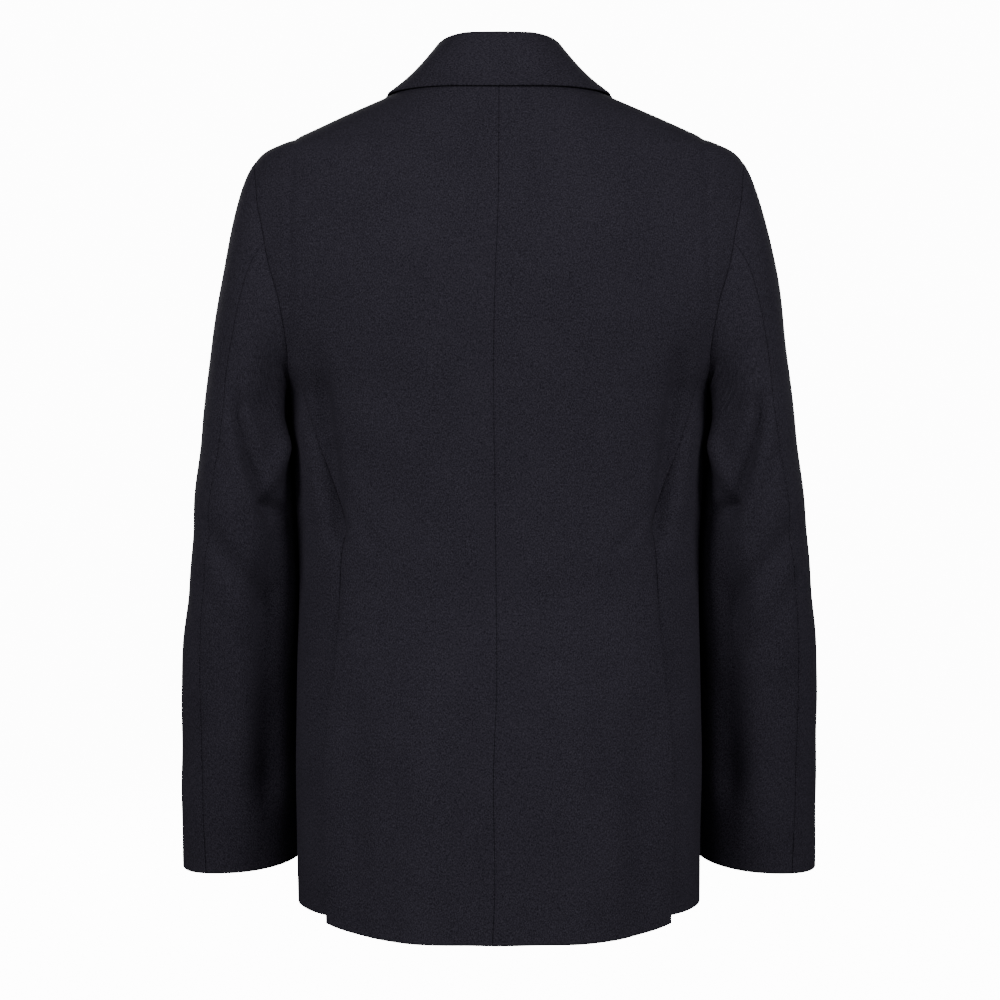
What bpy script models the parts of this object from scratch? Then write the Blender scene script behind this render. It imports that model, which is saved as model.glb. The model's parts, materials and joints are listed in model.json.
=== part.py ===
"""A single-breasted wool blazer, hollow and filled out as if worn, with nothing in it.

Metres, +Z up. The wearer faces -Y, and the wearer's left is +X. The origin is at the middle of the neck,
level with the neck points of the shoulder seams.
Every cloth piece is a wall between two grids of points. The pieces of the body lie on one form, given by
its sections, and each sleeve on another, so that neighbours share their seams.
"""

import math

import bpy
import numpy as np

# Driving dimensions
WALL = 0.0022  # cloth, canvas and seam allowance together
SEAM_GAP = 0.0003
GORGE_GAP = 0.0008  # wider, since the lapel and the collar each have their own roll there
NECK_POINT = -0.0037  # height where the neck seam crosses the shoulder seam
SHOULDER_TIP = -0.067  # height of the shoulder point
BREAK_HEIGHT = -0.372  # where the lapel starts to fold back, just above the top button
FRONT_HEM = -0.7225
CUTAWAY_START = -0.480  # below this the front edge curves away to the side
CUTAWAY = 0.082
FRONT_OVERLAP = 0.018  # how far each front reaches past the centre
GORGE = (0.060, -0.055)  # x and z where collar, lapel and neck meet
NOTCH = (0.096, -0.080)
COLLAR_CORNER = (0.113, -0.056)
LAPEL_CORNER = (0.126, -0.078)
COLLAR_EDGE = -0.0120  # height of the collar's lower edge
COLLAR_SIDE_X = 0.0977  # where that edge crosses the shoulder seam
COLLAR_ROLL = 0.0040  # half the width of its rolled fold
COLLAR_BULGE = 0.0024
LIES_FLAT = (1.35, 2.0)  # places along the collar where its fall starts and ends lying flat on the chest
CHEST_CLEARANCE = 0.0008
UNDERLAP = 0.034  # how far a side panel runs on under the back at its vent
VENT_TOP = -0.500
UNDER_OFFSET = 0.0034  # how far a lower layer lies inside the one above it
VENT_RADIUS = 0.155  # from the body's middle axis to its side at a vent
STRIP_RISE = 0.060  # the side panel starts to sink under the back this far above the vent's top
STRIP_SINK = (0.35, 0.02)  # and at these angles before the seam it starts and ends sinking
CUTAWAY_SHAPE = (3.0, 0.6)  # exponents of the cutaway's curve, at its start and at the hem

# Sections of the body. Roundness is the exponent of the oval: 2 is an ellipse, more is squarer.
BODY_COLUMNS = ("height", "half_width", "back_depth", "front_depth", "roundness")
BODY = [
    (-0.7600, 0.1758, 0.1195, 0.1175, 2.35),
    (-0.7000, 0.1764, 0.1180, 0.1180, 2.35),
    (-0.5800, 0.1782, 0.1115, 0.1185, 2.35),
    (-0.5000, 0.1768, 0.1020, 0.1175, 2.35),
    (-0.4360, 0.1752, 0.0965, 0.1165, 2.35),
    (-0.3652, 0.1782, 0.0965, 0.1170, 2.35),
    (-0.3200, 0.1804, 0.0985, 0.1180, 2.33),
    (-0.2760, 0.1840, 0.1020, 0.1185, 2.25),
    (-0.2450, 0.2020, 0.1045, 0.1175, 2.15),
    (-0.2000, 0.2260, 0.1070, 0.1155, 2.05),
    (-0.1600, 0.2380, 0.1060, 0.1095, 2.00),
    (-0.1200, 0.2350, 0.0990, 0.0970, 2.00),
    (-0.0880, 0.2240, 0.0900, 0.0800, 2.05),
    (-0.0670, 0.2134, 0.0830, 0.0665, 2.10),
    (-0.0598, 0.2059, 0.0805, 0.0620, 2.12),
    (-0.0500, 0.1836, 0.0775, 0.0565, 2.14),
    (-0.0300, 0.1380, 0.0715, 0.0460, 2.16),
    (-0.0123, 0.0977, 0.0660, 0.0360, 2.18),
    (-0.0037, 0.0780, 0.0635, 0.0310, 2.20),
    (0.0060, 0.0600, 0.0605, 0.0260, 2.20),
]

# Where the seam between back and side panel runs, as x over height
SIDE_BACK_COLUMNS = ("height", "x")
SIDE_BACK = [
    (-0.740, 0.1472),
    (-0.716, 0.1479),
    (-0.670, 0.1498),
    (-0.620, 0.1508),
    (-0.580, 0.1495),
    (-0.540, 0.1463),
    (-0.510, 0.1413),
    (-0.4725, 0.1380),
    (-0.4385, 0.1360),
    (-0.395, 0.1346),
    (-0.361, 0.1442),
    (-0.322, 0.1557),
    (-0.285, 0.1668),
    (-0.249, 0.1790),
]
SIDE_FRONT_COLUMNS = ("height", "x")
SIDE_FRONT = [
    (-0.740, 0.1550),
    (-0.600, 0.1560),
    (-0.500, 0.1530),
    (-0.400, 0.1520),
    (-0.320, 0.1610),
    (-0.249, 0.1780),
]

# Armhole, an egg seen from the side: angle 0 at the shoulder point, 90 at the back
ARMHOLE_MIDDLE = -0.1715
ARMHOLE_HALF = 0.1045
ARMHOLE_BACK = 0.060
ARMHOLE_FRONT = 0.056
ARMHOLE_EGG = 0.20
SEAM_MEETS_ARMHOLE = 135  # degrees, where side seams join it at back and front

# Rings of the hanging sleeve, below the armhole
SLEEVE_COLUMNS = ("height", "x_outer", "x_inner", "y_middle", "half_depth", "front_rise", "inner_rise")
SLEEVE = [
    (-0.2950, 0.2597, 0.1870, 0.002, 0.0680, 0.000, 0.000),
    (-0.3212, 0.2622, 0.1840, 0.003, 0.0665, 0.000, 0.000),
    (-0.3652, 0.2675, 0.1810, 0.004, 0.0630, 0.001, 0.000),
    (-0.3916, 0.2693, 0.1798, 0.003, 0.0600, 0.002, 0.001),
    (-0.4180, 0.2724, 0.1782, 0.001, 0.0575, 0.003, 0.001),
    (-0.4447, 0.2755, 0.1776, -0.003, 0.0550, 0.004, 0.002),
    (-0.4980, 0.2799, 0.1790, -0.012, 0.0520, 0.005, 0.003),
    (-0.5787, 0.2820, 0.1802, -0.023, 0.0460, 0.007, 0.005),
    (-0.6326, 0.2826, 0.1800, -0.030, 0.0425, 0.008, 0.006),
    (-0.6846, 0.2828, 0.1795, -0.036, 0.0395, 0.0087, 0.0067),
]
SLEEVE_FLARE = 0.06  # how the crown leans out as it comes down
CROWN_DROP = 0.021  # how far below the armhole the crown has turned down
CROWN_SIDE_DROP = 0.007
UNDERARM_RISE = 0.035
DEGREE = 0.0011  # one degree round a sleeve, as a length on it

# Where the sleeve's seams run round it, in degrees from its outer side towards the back
SEAM_COLUMNS = ("height", "hindarm", "forearm")
SLEEVE_SEAMS = [
    (-0.700, 59, 248),
    (-0.580, 55, 246),
    (-0.440, 51, 244),
    (-0.390, 52, 243),
    (-0.330, 61, 240),
    (-0.295, 67, 238),
    (-0.200, 74, 236),
]
HINDARM_AT_ARMHOLE = 75
FOREARM_AT_ARMHOLE = 240

# The collar's fold along the neck seam: 0 at the centre back, 1 at the neck point, 2 at the gorge.
# Faces is the level direction that the fall hangs towards, in degrees from straight back.
COLLAR_COLUMNS = ("along", "fold_x", "fold_y", "fold_z", "faces")
COLLAR = [
    (0.00, 0.0000, 0.0500, 0.0368, 0),
    (0.30, 0.0245, 0.0465, 0.0366, 24),
    (0.55, 0.0410, 0.0360, 0.0352, 50),
    (0.80, 0.0520, 0.0190, 0.0320, 74),
    (1.00, 0.0555, 0.0030, 0.0285, 86),
    (1.35, 0.0580, -0.0200, 0.0090, 91),
    (1.70, 0.0590, -0.0410, -0.0220, 87),
    (1.90, 0.0590, -0.0525, -0.0415, 80),
    (2.00, 0.0590, -0.0585, -0.0512, 76),
]

# Soft folds pressed into the body's back: a straight line from start to end, as x and z.
# A positive depth goes in, a negative one stands out.
BODY_FOLD_COLUMNS = ("x0", "z0", "x1", "z1", "half_width", "depth")
BODY_FOLDS = [
    (0.1500, -0.245, 0.1340, -0.345, 0.0100, 0.0040),
    (0.1390, -0.335, 0.1240, -0.420, 0.0100, 0.0045),
    (0.1690, -0.300, 0.1560, -0.370, 0.0090, -0.0020),
    (0.1250, -0.560, 0.1180, -0.740, 0.0180, 0.0030),
    (0.0620, -0.540, 0.0700, -0.740, 0.0200, -0.0025),
    (0.0230, -0.560, 0.0260, -0.740, 0.0160, 0.0025),
]
BACK_FADE = (-0.020, 0.030)  # they fade in between these y
FOLD_TAIL = 1.6  # a fold runs out over this many times its half width

# Folds of the sleeve, in degrees round it and height
SLEEVE_FOLD_COLUMNS = ("angle0", "z0", "angle1", "z1", "half_width", "depth")
SLEEVE_FOLDS = [
    (88, -0.292, 128, -0.372, 0.0110, 0.0055),
    (150, -0.320, 128, -0.352, 0.0120, -0.0030),
    (60, -0.398, 118, -0.452, 0.0130, 0.0040),
    (300, -0.395, 250, -0.380, 0.0120, 0.0050),
    (310, -0.425, 240, -0.432, 0.0120, 0.0045),
]

# A button's half section, from the middle of its face over the rim to the middle of its underside
BUTTON_COLUMNS = ("radius", "height")
BUTTON_PROFILE = [
    (0.0, 0.0022),
    (0.0062, 0.0022),
    (0.0072, 0.0034),
    (0.0088, 0.0038),
    (0.0100, 0.0029),
    (0.0100, 0.0016),
    (0.0080, 0.0),
    (0.0, 0.0),
]
BUTTON_STEPS = 28
BUTTON_HEIGHTS = (("button_top", -0.388), ("button_bottom", -0.490))

SHARP_EDGE = 50  # degrees

WOOL = (0.0185, 0.0180, 0.0235, 1)
HORN = (0.012, 0.011, 0.012, 1)


def start_clean():
    for thing in list(bpy.data.objects):
        bpy.data.objects.remove(thing)


def material(name, colour, roughness):
    made = bpy.data.materials.new(name)
    made.use_nodes = True
    shader = made.node_tree.nodes["Principled BSDF"]
    shader.inputs["Base Color"].default_value = colour
    shader.inputs["Roughness"].default_value = roughness
    return made


def curve_through(table, columns, wanted):
    """A smooth function of the first column through the wanted one, with no overshoot between rows."""
    rows = sorted(table)
    x = np.array([row[0] for row in rows], float)
    y = np.array([row[columns.index(wanted)] for row in rows], float)
    step = np.diff(x)
    rise = np.diff(y) / step
    slope = np.zeros(len(x))
    slope[0], slope[-1] = rise[0], rise[-1]
    same = rise[:-1] * rise[1:] > 0
    left, right = np.where(same, rise[:-1], 1), np.where(same, rise[1:], 1)
    slope[1:-1] = np.where(same, 2 * left * right / (left + right), 0)

    def value(at):
        at = np.asarray(at, float)
        i = np.clip(np.searchsorted(x, at) - 1, 0, len(step) - 1)
        s = np.clip((at - x[i]) / step[i], 0, 1)
        start = (1 + 2 * s) * (1 - s) ** 2 * y[i] + s * (1 - s) ** 2 * step[i] * slope[i]
        return start + s * s * (3 - 2 * s) * y[i + 1] + s * s * (s - 1) * step[i] * slope[i + 1]

    return value


half_width = curve_through(BODY, BODY_COLUMNS, "half_width")
back_depth = curve_through(BODY, BODY_COLUMNS, "back_depth")
front_depth = curve_through(BODY, BODY_COLUMNS, "front_depth")
roundness = curve_through(BODY, BODY_COLUMNS, "roundness")
side_back_x = curve_through(SIDE_BACK, SIDE_BACK_COLUMNS, "x")
side_front_x = curve_through(SIDE_FRONT, SIDE_FRONT_COLUMNS, "x")
hindarm_angle = curve_through(SLEEVE_SEAMS, SEAM_COLUMNS, "hindarm")
forearm_angle = curve_through(SLEEVE_SEAMS, SEAM_COLUMNS, "forearm")
collar_fold = {name: curve_through(COLLAR, COLLAR_COLUMNS, name) for name in COLLAR_COLUMNS[1:]}
sleeve_ring = {name: curve_through(SLEEVE, SLEEVE_COLUMNS, name) for name in SLEEVE_COLUMNS[1:]}


def smooth_step(low, high, value):
    s = np.clip((value - low) / (high - low), 0, 1)
    return s * s * (3 - 2 * s)


def body(angle, z):
    """The body's outer form. The angle runs from the centre back over the wearer's left to the front."""
    angle, z = np.broadcast_arrays(np.asarray(angle, float), np.asarray(z, float))
    depth = np.where(np.cos(angle) > 0, back_depth(z), front_depth(z))
    power = roundness(z)
    across = (np.abs(np.sin(angle)) / half_width(z)) ** power
    along = (np.abs(np.cos(angle)) / depth) ** power
    radius = (across + along) ** (-1 / power)
    return np.stack([radius * np.sin(angle), radius * np.cos(angle), z], axis=-1)


def unit(vectors):
    return vectors / np.maximum(np.linalg.norm(vectors, axis=-1, keepdims=True), 1e-12)


def body_normal(angle, z):
    step = 1e-4
    round_body = body(np.asarray(angle) + step, z) - body(np.asarray(angle) - step, z)
    up_body = body(angle, np.asarray(z) + step) - body(angle, np.asarray(z) - step)
    return unit(np.cross(up_body, round_body))


def back_angle(x, z):
    """The angle where the back of the form has this x."""
    power = roundness(z)
    share = np.clip(np.abs(x) / half_width(z), 0, 1)
    return np.arctan2(x, back_depth(z) * (1 - share**power) ** (1 / power))


def front_angle(x, z):
    power = roundness(z)
    share = np.clip(np.abs(x) / half_width(z), 0, 1)
    return np.pi - np.arctan2(x, front_depth(z) * (1 - share**power) ** (1 / power))


def armhole(degrees):
    """Angle and height on the body of a point of the armhole."""
    turn = np.radians(degrees)
    reach = np.where(np.sin(turn) > 0, ARMHOLE_BACK, ARMHOLE_FRONT)
    y = reach * np.sin(turn) * (1 - ARMHOLE_EGG * np.cos(turn))
    z = ARMHOLE_MIDDLE + ARMHOLE_HALF * np.cos(turn)
    depth = np.where(y > 0, back_depth(z), front_depth(z))
    power = roundness(z)
    x = half_width(z) * (1 - (np.abs(y) / depth) ** power) ** (1 / power)
    return np.arctan2(x, y), z


def fold_depth(first, second, folds, stretch=1.0):
    """How far soft folds press in at points given in the same two measures as the fold table."""
    total = np.zeros(np.shape(first))
    for a0, z0, a1, z1, width, depth in folds:
        run = np.array([(a1 - a0) * stretch, z1 - z0])
        length = np.hypot(*run)
        ahead = ((first - a0) * stretch * run[0] + (second - z0) * run[1]) / length
        aside = (-(first - a0) * stretch * run[1] + (second - z0) * run[0]) / length
        past = np.maximum(np.maximum(-ahead, ahead - length), 0)
        total = total + depth * np.exp(-((aside / width) ** 2) - (past / (FOLD_TAIL * width)) ** 2)
    return total


def even_steps(path, count):
    """Shares of a path on the body, from 0 to 1, that cut it into equal lengths."""
    fine = np.linspace(0, 1, 90)
    points = body(*path(fine))
    run = np.concatenate([[0], np.cumsum(np.linalg.norm(np.diff(points, axis=0), axis=1))])
    return np.interp(np.linspace(0, run[-1], count), run, fine)


def even_row(path, count):
    return path(even_steps(path, count))


def row_grid(starts, ends, count, bend=2.0):
    """Rows on the body from start to end points, each an angle and a height, evenly spaced."""
    angles, heights = [], []
    for (a0, z0), (a1, z1) in zip(starts, ends):
        a, z = even_row(lambda t: (a0 + (a1 - a0) * t, z0 + (z1 - z0) * t**bend), count)
        angles.append(a)
        heights.append(z)
    return np.array(angles), np.array(heights)


def on_body(angles, heights, inset=0.0, side=1):
    """Outer and inner points of a wall on the body's form, mirrored for the wearer's right."""
    points, normals = body(angles, heights), body_normal(angles, heights)
    behind = smooth_step(*BACK_FADE, points[..., 1])
    pressed = fold_depth(points[..., 0], points[..., 2], BODY_FOLDS) * behind
    outer = points - normals * (pressed + inset)[..., None]
    inner = outer - normals * WALL
    flip = np.array([side, 1, 1])
    return outer * flip, inner * flip


def seam_gaps(outer, inner, edges, gap=SEAM_GAP / 2):
    """Draws the named edges of a wall back from their seams."""
    outer, inner = outer.copy(), inner.copy()
    for edge in edges:
        at, beside = {
            "first_row": (np.s_[0], np.s_[1]),
            "last_row": (np.s_[-1], np.s_[-2]),
            "first_column": (np.s_[:, 0], np.s_[:, 1]),
            "last_column": (np.s_[:, -1], np.s_[:, -2]),
        }[edge]
        shift = unit(outer[beside] - outer[at]) * gap
        outer[at] += shift
        inner[at] += shift
    return outer, inner


def wall(name, outer, inner, finish, flipped):
    """A closed solid between an outer and an inner grid of points."""
    rows, columns = outer.shape[:2]
    points = np.concatenate([outer.reshape(-1, 3), inner.reshape(-1, 3)])
    under = rows * columns

    def at(row, column, layer=0):
        return row * columns + column + layer * under

    faces = []
    for r in range(rows - 1):
        for c in range(columns - 1):
            faces.append((at(r, c), at(r, c + 1), at(r + 1, c + 1), at(r + 1, c)))
            faces.append((at(r, c, 1), at(r + 1, c, 1), at(r + 1, c + 1, 1), at(r, c + 1, 1)))
    rim = [(0, c) for c in range(columns - 1)]
    rim += [(r, columns - 1) for r in range(rows - 1)]
    rim += [(rows - 1, c) for c in range(columns - 1, 0, -1)]
    rim += [(r, 0) for r in range(rows - 1, 0, -1)]
    for here, there in zip(rim, rim[1:] + rim[:1]):
        # Neighbours across a seam split their rims along the same diagonal
        if here < there:
            faces.append((at(*here), at(*here, 1), at(*there, 1)))
            faces.append((at(*here), at(*there, 1), at(*there)))
        else:
            faces.append((at(*here), at(*here, 1), at(*there)))
            faces.append((at(*here, 1), at(*there, 1), at(*there)))
    if flipped:
        faces = [tuple(reversed(face)) for face in faces]
    mesh = bpy.data.meshes.new(name)
    mesh.from_pydata([tuple(map(float, p)) for p in points], [], faces)
    mesh.materials.append(finish)
    mesh.shade_smooth()
    mesh.set_sharp_from_angle(angle=math.radians(SHARP_EDGE))
    made = bpy.data.objects.new(name, mesh)
    blazer.objects.link(made)
    return made


# Rows of the body, from hem to shoulder. Outer ends of a row lie on the side seam, then on the armhole
# at angles that the sleeve shares, then on the shoulder seam.
ARMHOLE_ANGLES = np.linspace(0, 360, 25)
BACK_ARMHOLE = [a for a in ARMHOLE_ANGLES[::-1] if 0 <= a < SEAM_MEETS_ARMHOLE - 4]
FRONT_ARMHOLE = [a for a in ARMHOLE_ANGLES if 360 - SEAM_MEETS_ARMHOLE + 4 < a <= 360]
UNDER_ARMHOLE = [a for a in ARMHOLE_ANGLES if SEAM_MEETS_ARMHOLE < a < 360 - SEAM_MEETS_ARMHOLE]
SIDE_HEM = -0.7159
BACK_HEM_AT_VENT = -0.7240
BACK_HEM_AT_CENTRE = -0.7381
VENT_ROWS = 6
SEAM_ROWS = 9
VENT_STEP = 0.006
RIDGE_ROWS = np.linspace(0, 1, 6)[1:]
LOW_COUNT = VENT_ROWS + 1 + SEAM_ROWS
BACK_COLUMNS, BACK_BEND = 9, 3
FRONT_COLUMNS, FRONT_BEND = 10, 1.6
ARMPIT_AT_CENTRE = -0.235  # heights on the centre back of the rows that end at the armhole's two ends
SHOULDER_AT_CENTRE = -0.085
FRONT_EDGE_LEVELS = [FRONT_HEM, -0.7210, -0.7165, -0.7080, -0.6930, -0.6680, -0.6300, -0.5800, -0.5200]
FRONT_EDGE_LEVELS += [-0.4450, BREAK_HEIGHT]
ARMPIT_AT_FOLD = -0.262
SHOULDER_AT_FOLD = -0.120


def side_levels(hem_height):
    """Heights of the rows below the armhole, the same on both sides of a seam from the vent up."""
    top = armhole(SEAM_MEETS_ARMHOLE)[1]
    low = np.linspace(hem_height, VENT_TOP, VENT_ROWS + 1)
    return np.concatenate([low, np.linspace(VENT_TOP + VENT_STEP, top, SEAM_ROWS)])


def outer_ends(armhole_angles, seam_x, angle_of, hem_height):
    """Row ends on side seam, armhole and shoulder seam, from the hem up, as angle and height."""
    meeting = SEAM_MEETS_ARMHOLE if angle_of is back_angle else 360 - SEAM_MEETS_ARMHOLE
    joint_angle, joint_height = armhole(meeting)
    ends = [(angle_of(seam_x(z), z), z) for z in side_levels(hem_height)[:-1]]
    ends.append((joint_angle, joint_height))
    ends += [armhole(a) for a in armhole_angles]
    ends += [(np.pi / 2, SHOULDER_TIP + (NECK_POINT - SHOULDER_TIP) * s) for s in RIDGE_ROWS]
    return ends


def back_panel(side):
    ends = outer_ends(BACK_ARMHOLE, side_back_x, back_angle, BACK_HEM_AT_VENT)
    joint, tip = LOW_COUNT - 1, LOW_COUNT + len(BACK_ARMHOLE) - 1
    knots = [0, VENT_ROWS, joint, tip, len(ends) - 1]
    levels = [BACK_HEM_AT_CENTRE, VENT_TOP, ARMPIT_AT_CENTRE, SHOULDER_AT_CENTRE, 0.0]
    centre = np.interp(range(len(ends)), knots, levels)
    angles, heights = row_grid([(0, z) for z in centre], ends, BACK_COLUMNS, BACK_BEND)
    outer, inner = on_body(angles, heights, side=side)
    outer, inner = seam_gaps(outer, inner, ("first_column", "last_column"))
    return outer, inner


def side_panel(side):
    """The panel under the arm. Below the vent's top it runs on as a strip under the back."""
    top = np.array([armhole(a) for a in [SEAM_MEETS_ARMHOLE, *UNDER_ARMHOLE, 360 - SEAM_MEETS_ARMHOLE]])
    levels = side_levels(SIDE_HEM)
    angles, heights, insets = [], [], []
    for z in levels:
        seam = back_angle(side_back_x(z), z)
        end = front_angle(side_front_x(z), z)
        strip = UNDERLAP / VENT_RADIUS if z <= VENT_TOP else 0.0
        a, h = even_row(lambda t: (seam - strip + (end - seam + strip) * t, z + 0 * t), len(top))
        h = h + (top[:, 1] - levels[-1]) * ((z - levels[0]) / (levels[-1] - levels[0])) ** 6
        if z == levels[-1]:
            a, h = top.T
        lap = smooth_step(VENT_TOP + STRIP_RISE, VENT_TOP + VENT_STEP, z)
        angles.append(a)
        heights.append(h)
        insets.append(UNDER_OFFSET * lap * smooth_step(seam + STRIP_SINK[0], seam + STRIP_SINK[1], a))
    outer, inner = on_body(np.array(angles), np.array(heights), np.array(insets), side)
    return seam_gaps(outer, inner, ("first_column", "last_column", "last_row"))


def front_edge_x(z):
    """The front's free edge: straight, then cut away in a round corner at the hem."""
    low = np.clip((CUTAWAY_START - z) / (CUTAWAY_START - FRONT_HEM), 0, 1)
    start, end = CUTAWAY_SHAPE
    return -FRONT_OVERLAP + CUTAWAY * (1 - (1 - low**start) ** end)


def break_x(z):
    """The line where the lapel folds back."""
    share = (z - BREAK_HEIGHT) / (GORGE[1] - BREAK_HEIGHT)
    return -FRONT_OVERLAP + (GORGE[0] + FRONT_OVERLAP) * share


def inner_edge(z):
    return front_edge_x(z) if z < BREAK_HEIGHT else break_x(z)


def front_rows():
    ends = outer_ends(FRONT_ARMHOLE, side_front_x, front_angle, SIDE_HEM)
    joint, tip = LOW_COUNT - 1, LOW_COUNT + len(FRONT_ARMHOLE) - 1
    knots = [*range(len(FRONT_EDGE_LEVELS)), joint, tip, len(ends) - 1]
    levels = [*FRONT_EDGE_LEVELS, ARMPIT_AT_FOLD, SHOULDER_AT_FOLD, GORGE[1]]
    inner = np.interp(range(len(ends)), knots, levels)
    return ends, inner


def front_panel(side):
    ends, inner_heights = front_rows()
    starts = [(front_angle(inner_edge(z), z), z) for z in inner_heights]
    angles, heights = row_grid(ends, starts, FRONT_COLUMNS, FRONT_BEND)
    points = body(angles, heights)
    under = 0.0
    if side < 0:
        under = UNDER_OFFSET * smooth_step(*UNDER_FADE, points[..., 0])
    outer, inner = on_body(angles, heights, under, side)
    return seam_gaps(outer, inner, ("first_column", "last_column"))


def lapel_edge(share):
    """The lapel's free edge as x and z, from the break up to its corner."""
    points = np.array([(-FRONT_OVERLAP, BREAK_HEIGHT), *LAPEL_BELLY, LAPEL_CORNER])
    s = np.asarray(share, float)[..., None]
    return (
        (1 - s) ** 3 * points[0]
        + 3 * s * (1 - s) ** 2 * points[1]
        + 3 * s * s * (1 - s) * points[2]
        + s**3 * points[3]
    )


# Across a lapel: how far over from the fold to the edge, and how high its two faces stand off the front.
# The first two columns are the rolled fold, placed in metres.
LAPEL_SECTION_COLUMNS = ("shift", "low_shift", "share", "top", "bottom")
LAPEL_SECTION = [
    (-0.0030, 0.0026, 0.00, -0.0014, -0.0014),
    (-0.0022, 0.0018, 0.00, 0.0030, 0.0008),
    (0.0045, 0.0, 0.00, 0.0047, 0.0024),
    (0.0, 0.0, 0.30, 0.0040, 0.0017),
    (0.0, 0.0, 0.53, 0.0036, 0.0014),
    (0.0, 0.0, 0.76, 0.0033, 0.0011),
    (0.0, 0.0, 1.00, 0.0033, 0.0011),
]
LAPEL_TOP, LAPEL_UNDERSIDE = 0.0033, 0.0011
LAPEL_BELLY = ((0.040, -0.305), (0.122, -0.200))  # the two handles that bow its free edge outwards
LEAST_SHARE = 0.035  # keeps the lapel's first row from shrinking to a point
ROLL_FADE = (0.28, 0.34)  # share of the fold line over which the right lapel takes up its roll
MIDDLE_SHARE = 0.53
TUCK = 0.0070  # how far the right lapel stays from the left front's fold where that covers it
TUCK_START = 0.20  # share of the fold line where the right lapel comes out
UNDER_FADE = (0.050, 0.024)  # the right front sinks under the left one between these x


def lapel(side):
    """A lapel, laid on its front. The right one starts where it comes out from under the left front."""
    top, bottom = [], []
    for z in front_rows()[1]:
        share = (z - BREAK_HEIGHT) / (GORGE[1] - BREAK_HEIGHT)
        if share < (-1e-9 if side > 0 else TUCK_START):
            continue
        fold_x = break_x(z)
        rolled = 1.0
        tucked = side < 0 and fold_x < TUCK / 2
        if side < 0:
            fold_x = max(fold_x, TUCK - fold_x)
            rolled = smooth_step(*ROLL_FADE, share)
        fold = np.array([fold_x, z])
        edge = lapel_edge(max(share, LEAST_SHARE))
        middle = np.array(NOTCH) if share > 0.999 else (fold + edge) / 2
        width = np.hypot(*(middle - fold))
        across = (middle - fold) / width
        rows = ([], [])
        for shift, low_shift, part, high, low in LAPEL_SECTION:
            near = min(part / MIDDLE_SHARE, 1)
            far = max(part - MIDDLE_SHARE, 0) / (1 - MIDDLE_SHARE)
            place = fold + (middle - fold) * near + (edge - middle) * far
            if part == 0:
                high = LAPEL_TOP + (high - LAPEL_TOP) * rolled
                low = LAPEL_UNDERSIDE + (low - LAPEL_UNDERSIDE) * rolled
            if tucked and shift < 0:
                shift -= LAPEL_SECTION[0][0]
            for row, extra, off in ((rows[0], 0.0, high), (rows[1], low_shift * rolled, low)):
                x, height = place + across * (min(shift, width / 3) + extra)
                angle = front_angle(x, height)
                under = UNDER_OFFSET * smooth_step(*UNDER_FADE, x) if side < 0 else 0.0
                row.append(body(angle, height) + body_normal(angle, height) * (off - under))
        top.append(rows[0])
        bottom.append(rows[1])
    flip = np.array([side, 1, 1])
    return seam_gaps(np.array(top) * flip, np.array(bottom) * flip, ("last_row",), GORGE_GAP)


def back_neck(share):
    """The neck seam from the centre back to the neck point, as angle and height on the body."""
    return np.pi / 2 * share, NECK_POINT * share**BACK_BEND


def front_neck(share):
    """The neck seam from the neck point to the gorge."""
    angle = np.pi / 2 + (front_angle(*GORGE) - np.pi / 2) * share
    return angle, NECK_POINT + (GORGE[1] - NECK_POINT) * share**FRONT_BEND


def neck_seam(along):
    return back_neck(along) if along <= 1 else front_neck(along - 1)


def height_where(angle, x):
    """The height, on the shoulder or chest, where the body has this x at this angle."""
    low, high = -0.12, 0.0
    for _ in range(40):
        middle = (low + high) / 2
        low, high = (middle, high) if body(angle, middle)[0] > x else (low, middle)
    return low


def collar_edge(along):
    """Angle and height on the body under the collar's free edge."""
    if along <= 1:
        return np.pi / 2 * along, COLLAR_EDGE
    share = along - 1
    angle = np.pi / 2 + (front_angle(*COLLAR_CORNER) - np.pi / 2) * share**0.85
    return angle, height_where(angle, COLLAR_SIDE_X + (COLLAR_CORNER[0] - COLLAR_SIDE_X) * share)


def over_body(angle, z):
    """A point of the middle of a wall that lies on the body."""
    return body(angle, z) + body_normal(angle, z) * (LAPEL_UNDERSIDE + WALL / 2)


def on_gorge(share):
    """A point of the gorge seam, from where the lapel folds to the notch."""
    x, z = np.array(GORGE) * (1 - share) + np.array(NOTCH) * share
    return over_body(front_angle(x, z), z), body_normal(front_angle(x, z), z)


def clear_of_chest(point):
    """The point, brought forward if it lies closer to the chest than the collar's underside may."""
    nearest = over_body(front_angle(point[0], point[2]), point[2]) - np.array([0, CHEST_CLEARANCE, 0])
    return np.array([point[0], min(point[1], nearest[1]), point[2]])


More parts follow.
